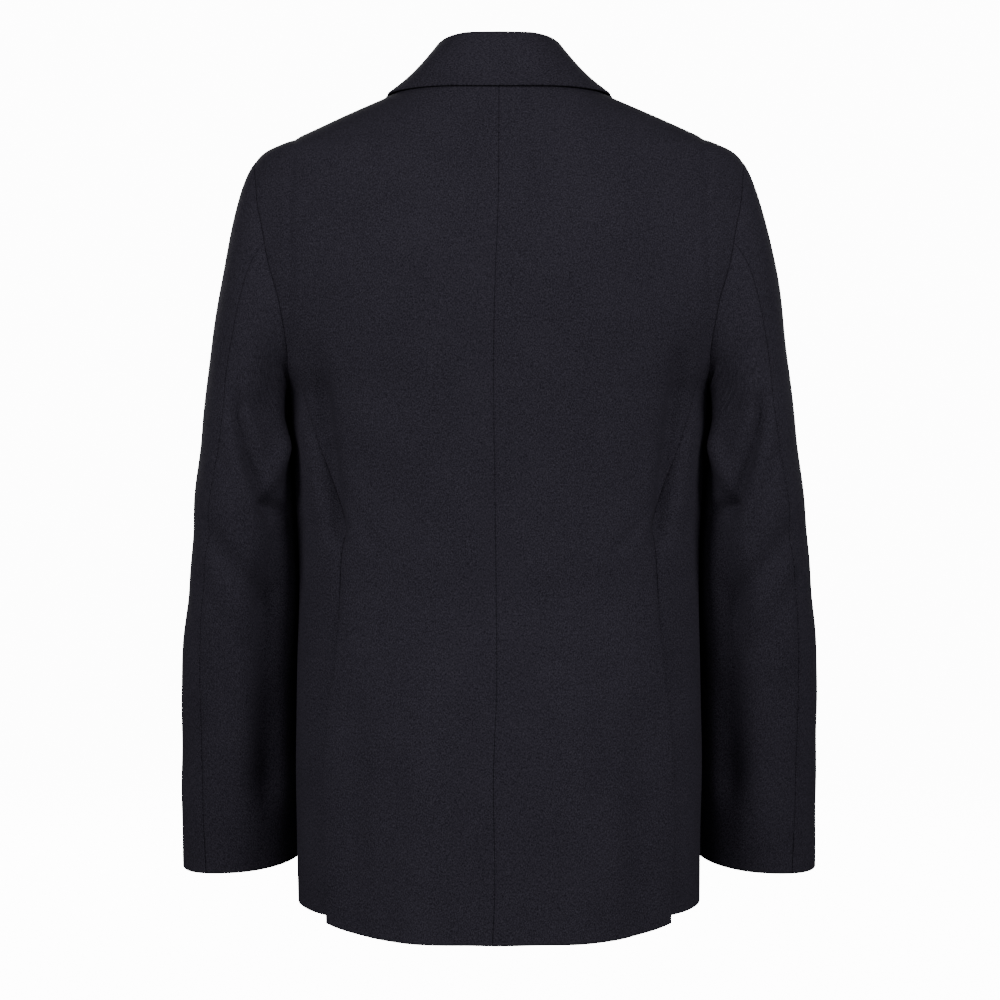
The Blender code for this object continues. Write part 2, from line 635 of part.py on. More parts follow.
def collar_section(along):
    """Points of the collar's middle surface from neck to free edge, and the wall's direction at its foot."""
    angle, z = neck_seam(along)
    seam, normal = body(angle, z), body_normal(angle, z)
    faces = np.radians(collar_fold["faces"](along))
    level = np.array([np.sin(faces), np.cos(faces), 0])
    up = np.array([0, 0, 1.0])
    fold = np.array([collar_fold[name](along) for name in ("fold_x", "fold_y", "fold_z")])
    edge = over_body(*collar_edge(along))
    flat = smooth_step(*LIES_FLAT, along)
    roll = COLLAR_ROLL * (1 - 0.55 * flat)
    sideways = unit(np.cross(normal, up))
    into = unit(np.cross(sideways, normal))
    if into @ (fold - seam) < 0:
        into = -into
    foot = seam - normal * WALL / 2 + into * SEAM_GAP
    inner = fold - level * roll - up * roll
    outer = fold + level * roll - up * roll * (1.1 - 0.5 * flat)
    bulge = level * COLLAR_BULGE * (1 - flat)
    free = [outer * (1 - s) + edge * s + bulge for s in (1 / 3, 2 / 3)]
    lying = [on_gorge(0.5)[0], on_gorge(1.0)[0]]
    first, second = (f * (1 - flat**2) + l * flat**2 for f, l in zip(free, lying))
    if along > 1:
        first, second = clear_of_chest(first), clear_of_chest(second)
    stand = foot + (inner - foot) * 0.5
    return np.array([foot, stand, inner, fold, outer, first, second, edge]), normal


def spline(points, at):
    """Points on a Catmull-Rom curve through points, at places counted in points from the first."""
    padded = np.concatenate([[2 * points[0] - points[1]], points, [2 * points[-1] - points[-2]]])
    made = []
    for place in at:
        i = min(int(place), len(points) - 2)
        s = place - i
        a, b, c, d = padded[i : i + 4]
        curved = (2 * a - 5 * b + 4 * c - d) * s**2 + (3 * b - a - 3 * c + d) * s**3
        made.append((2 * b + (c - a) * s + curved) / 2)
    return np.array(made)


def grid_normals(grid):
    """Normals of a grid of points, across its rows and columns."""
    along = np.gradient(grid, axis=1)
    over = np.gradient(grid, axis=0)
    return unit(np.cross(along, over))


# Places across the collar, counted in the points of its section: foot, stand, both sides of the fold, edge
COLLAR_PLACES = (0, 1, 2, 2.5, 3, 3.5, 4, 4.5, 5, 5.5, 6, 6.5, 7)
OUTER_FOLD, NOTCH_PLACE = 4, 6


def collar():
    half = [*even_steps(back_neck, BACK_COLUMNS), *(1 + even_steps(front_neck, FRONT_COLUMNS)[1:])]
    middle, foot_normals, gorge_normals = [], [], {}
    for along in half:
        points, normal = collar_section(along)
        middle.append(spline(points, COLLAR_PLACES))
        foot_normals.append(normal)
    for i, place in enumerate(COLLAR_PLACES):
        if OUTER_FOLD < place <= NOTCH_PLACE:
            share = (place - OUTER_FOLD) / (NOTCH_PLACE - OUTER_FOLD)
            middle[-1][i], gorge_normals[i] = on_gorge(share)
    middle, foot_normals = np.array(middle), np.array(foot_normals)
    mirror = np.array([-1, 1, 1])
    middle = np.concatenate([middle[:0:-1] * mirror, middle])
    foot_normals = np.concatenate([foot_normals[:0:-1] * mirror, foot_normals])
    through = grid_normals(middle)
    if through[len(through) // 2, -1] @ np.array([0, 1, 0]) < 0:
        through = -through
    through[:, 0] = -foot_normals
    for i, normal in gorge_normals.items():
        through[-1, i], through[0, i] = normal, normal * mirror
    outer, inner = middle + through * WALL / 2, middle - through * WALL / 2
    return seam_gaps(outer, inner, ("first_row", "last_row"), SEAM_GAP)


def sleeve_ring_point(turn, z):
    """A point of the hanging sleeve's outer face, the turn running from its outer side to the back."""
    outer, inner = sleeve_ring["x_outer"](z), sleeve_ring["x_inner"](z)
    x = (outer + inner) / 2 + (outer - inner) / 2 * np.cos(turn)
    y = sleeve_ring["y_middle"](z) + sleeve_ring["half_depth"](z) * np.sin(turn)
    rise = -sleeve_ring["front_rise"](z) * np.sin(turn) - sleeve_ring["inner_rise"](z) * np.cos(turn)
    return np.stack([x, y, z + rise], axis=-1)


def sleeve_point(turn, down):
    """The sleeve's form: down runs from 0 at the armhole to 1 at the first hanging ring, and on to 2."""
    turn, down = np.broadcast_arrays(np.asarray(turn, float), np.asarray(down, float))
    top, bottom = SLEEVE[0][0], SLEEVE[-1][0]
    start = body(*armhole(np.degrees(turn)))
    ring = sleeve_ring_point(turn, np.full(turn.shape, top))
    drop = CROWN_DROP + CROWN_SIDE_DROP * np.sin(turn) ** 2 - UNDERARM_RISE * ((1 - np.cos(turn)) / 2) ** 3
    lift = start[..., 2] - drop - top
    lean = SLEEVE_FLARE * (1 + np.cos(turn)) * lift
    bend = ring + np.stack([-lean, 0 * lift, lift], axis=-1)
    bend[..., 1] = (bend[..., 1] + start[..., 1]) / 2
    s = np.clip(down, 0, 1)[..., None]
    crown = (1 - s) ** 2 * start + 2 * s * (1 - s) * bend + s * s * ring
    hanging = sleeve_ring_point(turn, top + (bottom - top) * np.clip(down - 1, 0, 1))
    return np.where(down[..., None] <= 1, crown, hanging)


def sleeve_normal(turn, down):
    step = 1e-3
    around = sleeve_point(turn + step, down) - sleeve_point(turn - step, down)
    below = sleeve_point(turn, np.minimum(down + step, 2)) - sleeve_point(turn, np.maximum(down - step, 0))
    return unit(np.cross(below, around))


CROWN_ROWS = np.array([0, 0.12, 0.28, 0.45, 0.63, 0.81])
HANGING_ROWS = np.array([0, 0.07, 0.14, 0.20, 0.26, 0.32, 0.39, 0.47, 0.57, 0.68, 0.80, 0.90, 1.0])


def seam_turn(down, at_armhole, angle_at):
    """The turn of a lengthwise seam of the sleeve, in degrees."""
    top, bottom = SLEEVE[0][0], SLEEVE[-1][0]
    hanging = angle_at(top + (bottom - top) * np.clip(down - 1, 0, 1))
    crown = at_armhole + (angle_at(top) - at_armhole) * np.clip(down, 0, 1)
    return np.where(down < 1, crown, hanging)


def shared_turns(start, stop):
    """Armhole angles between two, with the two themselves at the ends."""
    between = [a for a in [*ARMHOLE_ANGLES[:-1] - 360, *ARMHOLE_ANGLES[:-1]] if start + 4 < a < stop - 4]
    return np.array([start, *between, stop])


def sleeve_piece(side, under):
    """Top or under sleeve: a grid from armhole to cuff between the two lengthwise seams."""
    start, stop = FOREARM_AT_ARMHOLE - 360, HINDARM_AT_ARMHOLE
    if under:
        start, stop = HINDARM_AT_ARMHOLE, FOREARM_AT_ARMHOLE
    turns = shared_turns(start, stop)
    share = (turns - start) / (stop - start)
    down = np.concatenate([CROWN_ROWS, 1 + HANGING_ROWS])
    hind = seam_turn(down, HINDARM_AT_ARMHOLE, hindarm_angle)
    fore = seam_turn(down, FOREARM_AT_ARMHOLE, forearm_angle)
    first, last = (hind, fore) if under else (fore - 360, hind)
    turn = first[:, None] + (last - first)[:, None] * share
    turn = np.radians(turn)
    level = np.broadcast_to(down[:, None], turn.shape)
    points, normals = sleeve_point(turn, level), sleeve_normal(turn, level)
    normals[0] = body_normal(*armhole(np.degrees(turn[0])))
    normals[1] = unit(normals[0] + 2 * normals[1])
    pressed = fold_depth(np.degrees(turn) % 360, points[..., 2], SLEEVE_FOLDS, stretch=DEGREE)
    outer = points - normals * pressed[..., None]
    inner = outer - normals * WALL
    flip = np.array([side, 1, 1])
    outer, inner = seam_gaps(outer * flip, inner * flip, ("first_column", "last_column"))
    return seam_gaps(outer, inner, ("first_row",), SEAM_GAP)


# The top sleeve is one piece of cloth, built as three solids that meet edge to edge: name, first and last row
TOP_SLEEVE_LENGTHS = [("crown", 0, 6), ("top", 6, 12), ("forearm", 12, 18)]


def top_sleeve_lengths(side):
    """Name and grids of each length of the top sleeve, drawn back a little where two lengths meet."""
    outer, inner = sleeve_piece(side, under=False)
    made = []
    for length, first, last in TOP_SLEEVE_LENGTHS:
        edges = ["first_row"] if first > 0 else []
        edges += ["last_row"] if last < len(outer) - 1 else []
        rows = np.s_[first : last + 1]
        made.append((length, seam_gaps(outer[rows], inner[rows], edges)))
    return made


def button(name, z, finish):
    """A round horn button with a raised rim, turned about its own axis and laid on the left front."""
    mesh = bpy.data.meshes.new(name)
    links = [(i, i + 1) for i in range(len(BUTTON_PROFILE) - 1)]
    mesh.from_pydata([(radius, 0, height) for radius, height in BUTTON_PROFILE], links, [])
    mesh.materials.append(finish)
    made = bpy.data.objects.new(name, mesh)
    blazer.objects.link(made)
    turned = made.modifiers.new("turned", "SCREW")
    turned.steps = turned.render_steps = BUTTON_STEPS
    turned.use_merge_vertices = True
    turned.merge_threshold = 0.0001
    angle = front_angle(0.0, z)
    place, normal = body(angle, z), body_normal(angle, z)
    place = place + normal * 2 * SEAM_GAP
    made.location = tuple(place)
    made.rotation_euler = (math.atan2(-normal[1], normal[2]), 0, 0)
    return made


start_clean()
blazer = bpy.data.collections.new("blazer")
bpy.context.scene.collection.children.link(blazer)
wool = material("wool", WOOL, 0.95)
horn = material("horn", HORN, 0.35)

for label, side in (("left", 1), ("right", -1)):
    wall(f"back_{label}", *back_panel(side), wool, flipped=side > 0)
    wall(f"side_{label}", *side_panel(side), wool, flipped=side > 0)
    wall(f"front_{label}", *front_panel(side), wool, flipped=side > 0)
    wall(f"lapel_{label}", *lapel(side), wool, flipped=side < 0)
    wall(f"sleeve_under_{label}", *sleeve_piece(side, under=True), wool, flipped=side > 0)
    for length, grids in top_sleeve_lengths(side):
        wall(f"sleeve_{length}_{label}", *grids, wool, flipped=side > 0)
wall("collar", *collar(), wool, flipped=True)
for name, z in BUTTON_HEIGHTS:
    button(name, z, horn)
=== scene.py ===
# %% [markdown]
# # A blazer, hollow and filled out as when worn
# A tailor cuts this jacket from flat cloth: two backs, two side panels, two fronts with their lapels,
# a collar and four sleeve pieces. Here each of them is a thin closed sheet that lies on one smooth
# form, so that neighbours meet at their seams. The form is the solid model's own, only finer.

# %% Load the solid model
import json
import math

import bpy
import numpy as np
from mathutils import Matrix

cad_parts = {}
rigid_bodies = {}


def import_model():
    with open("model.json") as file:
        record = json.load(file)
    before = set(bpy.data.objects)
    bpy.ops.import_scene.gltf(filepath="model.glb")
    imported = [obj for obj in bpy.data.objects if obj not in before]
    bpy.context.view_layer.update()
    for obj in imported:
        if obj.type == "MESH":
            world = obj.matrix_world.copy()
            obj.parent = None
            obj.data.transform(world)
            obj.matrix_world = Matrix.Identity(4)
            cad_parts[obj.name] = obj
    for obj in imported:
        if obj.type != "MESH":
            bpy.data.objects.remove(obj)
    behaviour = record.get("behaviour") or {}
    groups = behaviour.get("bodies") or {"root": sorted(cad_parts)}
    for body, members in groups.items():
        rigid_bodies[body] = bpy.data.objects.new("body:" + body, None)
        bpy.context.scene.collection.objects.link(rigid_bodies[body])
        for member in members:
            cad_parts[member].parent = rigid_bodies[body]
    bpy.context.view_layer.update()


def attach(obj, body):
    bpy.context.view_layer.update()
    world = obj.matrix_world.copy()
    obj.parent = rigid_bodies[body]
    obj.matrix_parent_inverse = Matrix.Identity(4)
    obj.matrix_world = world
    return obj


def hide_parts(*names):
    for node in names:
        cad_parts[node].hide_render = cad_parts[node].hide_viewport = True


for thing in list(bpy.data.objects):
    bpy.data.objects.remove(thing)
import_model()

# %% [markdown]
# ## The form of the body
# A jacket on a figure is round, but squarer than an ellipse. Each row of this table is one level
# section: how wide it is, how deep behind and in front, and how square. A smooth curve runs through
# every column, so we can ask for the cloth's place at any height and any angle round the body.

# %% Sections of the body, in metres
BODY_COLUMNS = ("height", "half_width", "back_depth", "front_depth", "roundness")
BODY = [
    (-0.7600, 0.1758, 0.1195, 0.1175, 2.35),
    (-0.7000, 0.1764, 0.1180, 0.1180, 2.35),
    (-0.5800, 0.1782, 0.1115, 0.1185, 2.35),
    (-0.5000, 0.1768, 0.1020, 0.1175, 2.35),
    (-0.4360, 0.1752, 0.0965, 0.1165, 2.35),
    (-0.3652, 0.1782, 0.0965, 0.1170, 2.35),
    (-0.3200, 0.1804, 0.0985, 0.1180, 2.33),
    (-0.2760, 0.1840, 0.1020, 0.1185, 2.25),
    (-0.2450, 0.2020, 0.1045, 0.1175, 2.15),
    (-0.2000, 0.2260, 0.1070, 0.1155, 2.05),
    (-0.1600, 0.2380, 0.1060, 0.1095, 2.00),
    (-0.1200, 0.2350, 0.0990, 0.0970, 2.00),
    (-0.0880, 0.2240, 0.0900, 0.0800, 2.05),
    (-0.0670, 0.2134, 0.0830, 0.0665, 2.10),
    (-0.0598, 0.2059, 0.0805, 0.0620, 2.12),
    (-0.0500, 0.1836, 0.0775, 0.0565, 2.14),
    (-0.0300, 0.1380, 0.0715, 0.0460, 2.16),
    (-0.0123, 0.0977, 0.0660, 0.0360, 2.18),
    (-0.0037, 0.0780, 0.0635, 0.0310, 2.20),
    (0.0060, 0.0600, 0.0605, 0.0260, 2.20),
]


def curve_through(table, columns, wanted):
    """A smooth function of the first column through the wanted one, with no overshoot between rows."""
    rows = sorted(table)
    x = np.array([row[0] for row in rows], float)
    y = np.array([row[columns.index(wanted)] for row in rows], float)
    step = np.diff(x)
    rise = np.diff(y) / step
    slope = np.zeros(len(x))
    slope[0], slope[-1] = rise[0], rise[-1]
    same = rise[:-1] * rise[1:] > 0
    left, right = np.where(same, rise[:-1], 1), np.where(same, rise[1:], 1)
    slope[1:-1] = np.where(same, 2 * left * right / (left + right), 0)

    def value(at):
        at = np.asarray(at, float)
        i = np.clip(np.searchsorted(x, at) - 1, 0, len(step) - 1)
        s = np.clip((at - x[i]) / step[i], 0, 1)
        start = (1 + 2 * s) * (1 - s) ** 2 * y[i] + s * (1 - s) ** 2 * step[i] * slope[i]
        return start + s * s * (3 - 2 * s) * y[i + 1] + s * s * (s - 1) * step[i] * slope[i + 1]

    return value


curves = [curve_through(BODY, BODY_COLUMNS, name) for name in BODY_COLUMNS[1:]]
half_width, back_depth, front_depth, roundness = curves
print("chest, half width at the armhole's middle:", float(half_width(-0.17)))


# %% Points and directions on the body
def smooth_step(low, high, value):
    s = np.clip((value - low) / (high - low), 0, 1)
    return s * s * (3 - 2 * s)


def unit(vectors):
    return vectors / np.maximum(np.linalg.norm(vectors, axis=-1, keepdims=True), 1e-12)


def body(angle, z):
    """A point of the form. The angle runs from the centre back over the wearer's left to the front."""
    angle, z = np.broadcast_arrays(np.asarray(angle, float), np.asarray(z, float))
    depth = np.where(np.cos(angle) > 0, back_depth(z), front_depth(z))
    power = roundness(z)
    across = (np.abs(np.sin(angle)) / half_width(z)) ** power
    along = (np.abs(np.cos(angle)) / depth) ** power
    radius = (across + along) ** (-1 / power)
    return np.stack([radius * np.sin(angle), radius * np.cos(angle), z], axis=-1)


def body_normal(angle, z):
    step = 1e-4
    round_body = body(np.asarray(angle) + step, z) - body(np.asarray(angle) - step, z)
    up_body = body(angle, np.asarray(z) + step) - body(angle, np.asarray(z) - step)
    return unit(np.cross(up_body, round_body))


def back_angle(x, z):
    """The angle where the back of the form has this x."""
    power = roundness(z)
    share = np.clip(np.abs(x) / half_width(z), 0, 1)
    return np.arctan2(x, back_depth(z) * (1 - share**power) ** (1 / power))


def front_angle(x, z):
    power = roundness(z)
    share = np.clip(np.abs(x) / half_width(z), 0, 1)
    return np.pi - np.arctan2(x, front_depth(z) * (1 - share**power) ** (1 / power))


print("centre back at the waist:", body(0, -0.40).round(4))

# %% [markdown]
# ## Folds and unevenness
# Real cloth never lies quite smooth. Three things break it up here. The large folds are soft troughs
# and ridges along straight lines, much like those of the solid model. Finer creases come on top. And a
# slow ripple, made of a few sine waves in fixed random directions, keeps every surface a little alive.
# All are functions of the place on the form, so that two pieces that share a seam move together.

# %% Troughs and ridges
FOLD_TAIL = 1.6  # a fold runs out over this many times its half width
WAVES, WAVE_SPREAD = 7, (0.7, 1.5)


def fold_depth(first, second, folds, stretch=1.0):
    """How far folds press in at points given in the same two measures as the table of folds."""
    total = np.zeros(np.shape(first))
    for a0, z0, a1, z1, width, depth in folds:
        run = np.array([(a1 - a0) * stretch, z1 - z0])
        length = np.hypot(*run)
        ahead = ((first - a0) * stretch * run[0] + (second - z0) * run[1]) / length
        aside = (-(first - a0) * stretch * run[1] + (second - z0) * run[0]) / length
        past = np.maximum(np.maximum(-ahead, ahead - length), 0)
        total = total + depth * np.exp(-((aside / width) ** 2) - (past / (FOLD_TAIL * width)) ** 2)
    return total


def bell(value, middle, width):
    """1 at the middle, falling off smoothly on both sides."""
    return np.exp(-(((value - middle) / width) ** 2))


def ripple(points, wavelength, seed):
    """Slow waves between about -1 and 1."""
    random = np.random.default_rng(seed)
    total = np.zeros(points.shape[:-1])
    for _ in range(WAVES):
        way = unit(random.normal(size=3))
        length = wavelength * random.uniform(*WAVE_SPREAD)
        total += np.sin(points @ way * (2 * np.pi / length) + random.uniform(0, 2 * np.pi))
    return total / 2.6


# x0, z0, x1, z1, half width, depth: a positive depth goes in, a negative one stands out
BODY_FOLDS = [
    (0.1560, -0.250, 0.1505, -0.300, 0.0090, 0.0034),
    (0.1525, -0.280, 0.1505, -0.300, 0.0090, 0.0042),
    (0.1462, -0.325, 0.1400, -0.388, 0.0086, 0.0082),
    (0.1690, -0.300, 0.1560, -0.370, 0.0090, -0.0020),
    (0.1250, -0.560, 0.1180, -0.740, 0.0180, 0.0030),
    (0.0620, -0.540, 0.0700, -0.740, 0.0200, -0.0025),
    (0.0230, -0.560, 0.0260, -0.740, 0.0160, 0.0025),
]
BACK_FADE = (-0.020, 0.030)  # folds of the back fade in between these y
# Beside a side seam the cloth sinks a little, down to where the vent starts
SEAM_DIP, SEAM_DIP_WIDTH, SEAM_DIP_FADE = 0.0013, 0.0032, (-0.500, -0.470)
# Ripples: how deep, how long a wave, and the seed of their random directions
BODY_RIPPLES = [(0.0003, 0.070, 3), (0.0004, 0.160, 5)]
SLEEVE_RIPPLES = [(0.0005, 0.070, 11), (0.0006, 0.150, 13)]
# Finer creases of one side only: 1 for the wearer's left or -1 for the right, then as above
BODY_CREASES = [
    (1, 0.1525, -0.266, 0.1500, -0.290, 0.0065, 0.0012),
    (-1, 0.1540, -0.258, 0.1510, -0.300, 0.0065, 0.0012),
    (1, 0.1400, -0.362, 0.1370, -0.392, 0.0065, 0.0014),
    (-1, 0.1440, -0.340, 0.1385, -0.385, 0.0065, 0.0012),
    (-1, 0.0317, -0.100, 0.0229, -0.215, 0.0110, 0.0014),
    (-1, 0.0560, -0.120, 0.0700, -0.210, 0.0140, -0.0010),
    (1, 0.0480, -0.110, 0.0600, -0.230, 0.0140, 0.0009),
    (1, 0.0900, -0.600, 0.0930, -0.740, 0.0120, 0.0012),
    (-1, 0.0440, -0.570, 0.0420, -0.740, 0.0120, 0.0014),
    (-1, 0.0960, -0.620, 0.1040, -0.740, 0.0120, -0.0012),
    (1, 0.1320, -0.360, 0.1080, -0.400, 0.0060, 0.0012),
    (-1, 0.1300, -0.372, 0.1040, -0.404, 0.0060, 0.0012),
    (1, 0.1120, -0.085, 0.1500, -0.150, 0.0140, 0.0012),
    (-1, 0.1180, -0.090, 0.1560, -0.160, 0.0140, 0.0010),
]


def body_relief(angle, z, side):
    """How far the cloth of the body lies inside the smooth form."""
    points = body(angle, z)
    behind = smooth_step(*BACK_FADE, points[..., 1])
    own = [crease[1:] for crease in BODY_CREASES if crease[0] == side]
    relief = fold_depth(points[..., 0], points[..., 2], BODY_FOLDS + own) * behind
    to_seam = points[..., 0] - side_back_x(points[..., 2])
    sewn = SEAM_DIP * smooth_step(*SEAM_DIP_FADE, points[..., 2]) * behind
    relief = relief + sewn * bell(to_seam, 0, SEAM_DIP_WIDTH)
    real = points * np.array([side, 1, 1])
    return relief + sum(depth * ripple(real, length, seed) for depth, length, seed in BODY_RIPPLES)


def on_form(angle, z, lift, side):
    """Points over the body's cloth, still on the wearer's left."""
    raised = np.asarray(lift - body_relief(angle, z, side))
    return body(angle, z) + body_normal(angle, z) * raised[..., None]


def both_faces(angle, z, inset, side):
    """Outer and inner points of cloth that lies on the body, an inset deep, on its own side."""
    flip = np.array([side, 1, 1])
    return on_form(angle, z, -inset, side) * flip, on_form(angle, z, -inset - WALL, side) * flip


print("folds of the back:", len(BODY_FOLDS), "large,", len(BODY_CREASES), "finer ones")

# %% [markdown]
# ## From points to cloth
# Each piece is a grid of outer points and a grid of inner points. The rim between them decides how an
# edge reads. A free edge, such as a hem or a lapel, is cloth turned under, so its rim is round. At a
# seam the cloth dives in towards its neighbour, and two such edges side by side leave the fine groove
# that a seam is. Both are the same strip of faces with a different section.

# %% A closed sheet with rolled edges
WALL = 0.0022
SIDE_NAMES = {1: "left", -1: "right"}
# Sections of a rim: how far in from the edge, in shares of its roll, and how far through the cloth
RIM_FREE = np.array([(1, 0), (0.45, 0.08), (0.12, 0.25), (0, 0.5), (0.12, 0.75), (0.45, 0.92), (1, 1)])
RIM_SEAM = np.array([(1, 0), (0.50, 0.06), (0.15, 0.2), (0, 0.42), (0, 0.6), (0, 0.8), (0, 1)])
ROLL_FREE, ROLL_SEAM = 0.0011, 0.0010
MOST_ROLL = 0.6  # a roll takes no more than this share of the way to the next point
# A hem is folded up inside by this much and is thicker by this, with a soft edge
TURN_UP, TURN_UP_STEP, TURN_UP_EDGE = 0.036, 0.0008, 0.001
# The solid model's top sleeve is in three lengths, which one piece of cloth stands for here
SOLIDS = {}
for own_side in SIDE_NAMES.values():
    SOLIDS["sleeve_top_" + own_side] = [f"sleeve_{part}_{own_side}" for part in ("crown", "top", "forearm")]
cut_sizes, faces_of = {}, {}


def rim_loop(rows, columns):
    loop = [(0, c) for c in range(columns - 1)]
    loop += [(r, columns - 1) for r in range(rows - 1)]
    loop += [(rows - 1, c) for c in range(columns - 1, 0, -1)]
    return loop + [(r, 0) for r in range(rows - 1, 0, -1)]


def way_in(grid, row, column):
    """Direction into the cloth from a point of its edge, and how far the next point is."""
    rows, columns = grid.shape[:2]
    ways = []
    if row in (0, rows - 1):
        ways.append(grid[1 if row == 0 else -2, column] - grid[row, column])
    if column in (0, columns - 1):
        ways.append(grid[row, 1 if column == 0 else -2] - grid[row, column])
    near = min(np.linalg.norm(way) for way in ways)
    return unit(sum(unit(way) for way in ways)), near


def grain(grid):
    """How far each point lies along the weft and the warp, in metres."""
    weft = np.zeros(grid.shape[:2])
    warp = np.zeros(grid.shape[:2])
    weft[:, 1:] = np.cumsum(np.linalg.norm(np.diff(grid, axis=1), axis=-1), axis=1)
    warp[1:] = np.cumsum(np.linalg.norm(np.diff(grid, axis=0), axis=-1), axis=0)
    return weft, warp


def new_mesh(name, points, faces, material):
    """A smooth mesh object from arrays of points and four-cornered faces."""
    mesh = bpy.data.meshes.new(name)
    mesh.vertices.add(len(points))
    mesh.vertices.foreach_set("co", np.asarray(points, np.float32).ravel())
    mesh.loops.add(4 * len(faces))
    mesh.loops.foreach_set("vertex_index", np.asarray(faces, np.int32).ravel())
    mesh.polygons.add(len(faces))
    mesh.polygons.foreach_set("loop_start", np.arange(0, 4 * len(faces), 4, dtype=np.int32))
    mesh.update(calc_edges=True)
    mesh.shade_smooth()
    mesh.materials.append(material)
    made = bpy.data.objects.new(name, mesh)
    bpy.context.scene.collection.objects.link(made)
    return made


def cloth(part, outer, inner, free, hem=None, grain_from_end=False):
    """A closed sheet in place of a part of the solid model.

    free is 1 at the points of free edges and 0 elsewhere. hem is the row that is a hem, if one is.
    """
    rows, columns = outer.shape[:2]
    size = rows * columns
    weft, warp = grain(outer)
    crossed = np.cross(outer[1:, 1:] - outer[:-1, :-1], outer[1:, :-1] - outer[:-1, 1:])
    cut_sizes[part] = (weft.max(), warp.max(), np.linalg.norm(crossed, axis=-1).sum() / 2)
    faces_of[part] = outer
    if grain_from_end:
        weft = weft - weft[:, -1:]
    if hem is not None:
        turned = 1 - smooth_step(TURN_UP, TURN_UP + TURN_UP_EDGE, np.abs(warp - warp[hem]))
        inner = inner + unit(inner - outer) * (TURN_UP_STEP * turned)[..., None]
    outer, inner = outer.copy(), inner.copy()
    loop = rim_loop(rows, columns)
    rings = np.zeros((len(RIM_FREE), len(loop), 3))
    for i, (r, c) in enumerate(loop):
        inward, near = way_in(outer, r, c)
        section = RIM_FREE * free[r, c] + RIM_SEAM * (1 - free[r, c])
        roll = min(ROLL_FREE * free[r, c] + ROLL_SEAM * (1 - free[r, c]), MOST_ROLL * near)
        through = inner[r, c] - outer[r, c]
        rings[:, i] = outer[r, c] + section[:, :1] * roll * inward + section[:, 1:] * through
    for i, (r, c) in enumerate(loop):
        outer[r, c], inner[r, c] = rings[0, i], rings[-1, i]
    index = np.arange(size).reshape(rows, columns)
    faces = np.stack([index[:-1, :-1], index[:-1, 1:], index[1:, 1:], index[1:, :-1]], axis=-1)
    faces = faces.reshape(-1, 4)
    rim = np.zeros((len(RIM_FREE), len(loop)), int)
    rim[0] = [index[at] for at in loop]
    rim[-1] = rim[0] + size
    between = (len(RIM_FREE) - 2) * len(loop)
    rim[1:-1] = (2 * size + np.arange(between)).reshape(-1, len(loop))
    after = np.roll(rim, -1, axis=1)
    strip = np.stack([rim[:-1], rim[1:], after[1:], after[:-1]], axis=-1).reshape(-1, 4)
    points = np.concatenate([outer.reshape(-1, 3), inner.reshape(-1, 3), rings[1:-1].reshape(-1, 3)])
    faces = np.concatenate([faces, faces[:, ::-1] + size, strip])
    a, b, c, d = (points[faces[:, k]] for k in range(4))
    if (np.einsum("ij,ij->i", a, np.cross(b, c)) + np.einsum("ij,ij->i", a, np.cross(c, d))).sum() < 0:
        faces = faces[:, ::-1]
    made = new_mesh(part + "_cloth", points, faces, wool)
    threads = np.zeros((len(points), 3), np.float32)
    edge_threads = np.array([(weft[at], warp[at]) for at in loop])
    threads[:, :2] = np.concatenate(
        [np.stack([weft, warp], -1).reshape(-1, 2)] * 2 + [edge_threads] * (len(RIM_FREE) - 2)
    )
    layer = made.data.attributes.new("threads", "FLOAT_VECTOR", "POINT")
    layer.data.foreach_set("vector", threads.ravel())
    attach(made, "root")
    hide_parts(*SOLIDS.get(part, [part]))
    return made


print("points in the section of a rolled edge:", len(RIM_FREE))

# %% [markdown]
# ## Where the seams run
# The cut of a jacket is the course of its seams. The side seams behind swing in at the waist and out
# over the shoulder blades. The armhole is an egg seen from the side. All of it is given as heights,
# and places across or angles, the same numbers as in the solid model.

# %% Side seams and armhole
SEAM_COLUMNS = ("height", "x")
SIDE_BACK = [
    (-0.740, 0.1472),
    (-0.716, 0.1479),
    (-0.670, 0.1498),
    (-0.620, 0.1508),
    (-0.580, 0.1495),
    (-0.540, 0.1463),
    (-0.510, 0.1413),
    (-0.4725, 0.1380),
    (-0.4385, 0.1360),
    (-0.395, 0.1346),
    (-0.361, 0.1442),
    (-0.322, 0.1557),
    (-0.285, 0.1668),
    (-0.249, 0.1790),
]
SIDE_FRONT = [
    (-0.740, 0.1550),
    (-0.600, 0.1560),
    (-0.500, 0.1530),
    (-0.400, 0.1520),
    (-0.320, 0.1610),
    (-0.249, 0.1780),
]
side_back_x = curve_through(SIDE_BACK, SEAM_COLUMNS, "x")
side_front_x = curve_through(SIDE_FRONT, SEAM_COLUMNS, "x")
NECK_POINT, SHOULDER_TIP = -0.0037, -0.067
ARMHOLE_MIDDLE, ARMHOLE_HALF = -0.1715, 0.1045
ARMHOLE_BACK, ARMHOLE_FRONT, ARMHOLE_EGG = 0.060, 0.056, 0.20
SEAM_MEETS_ARMHOLE = 135
ARMHOLE_TURNS = np.linspace(0, 360, 25)


def armhole(degrees):
    """Angle and height on the body of a point of the armhole, from the shoulder point backwards."""
    turn = np.radians(degrees)
    reach = np.where(np.sin(turn) > 0, ARMHOLE_BACK, ARMHOLE_FRONT)
    y = reach * np.sin(turn) * (1 - ARMHOLE_EGG * np.cos(turn))
    z = ARMHOLE_MIDDLE + ARMHOLE_HALF * np.cos(turn)
    depth = np.where(y > 0, back_depth(z), front_depth(z))
    power = roundness(z)
    x = half_width(z) * (1 - (np.abs(y) / depth) ** power) ** (1 / power)
    return np.arctan2(x, y), z


print("armhole, lowest point at z =", float(armhole(180)[1]))

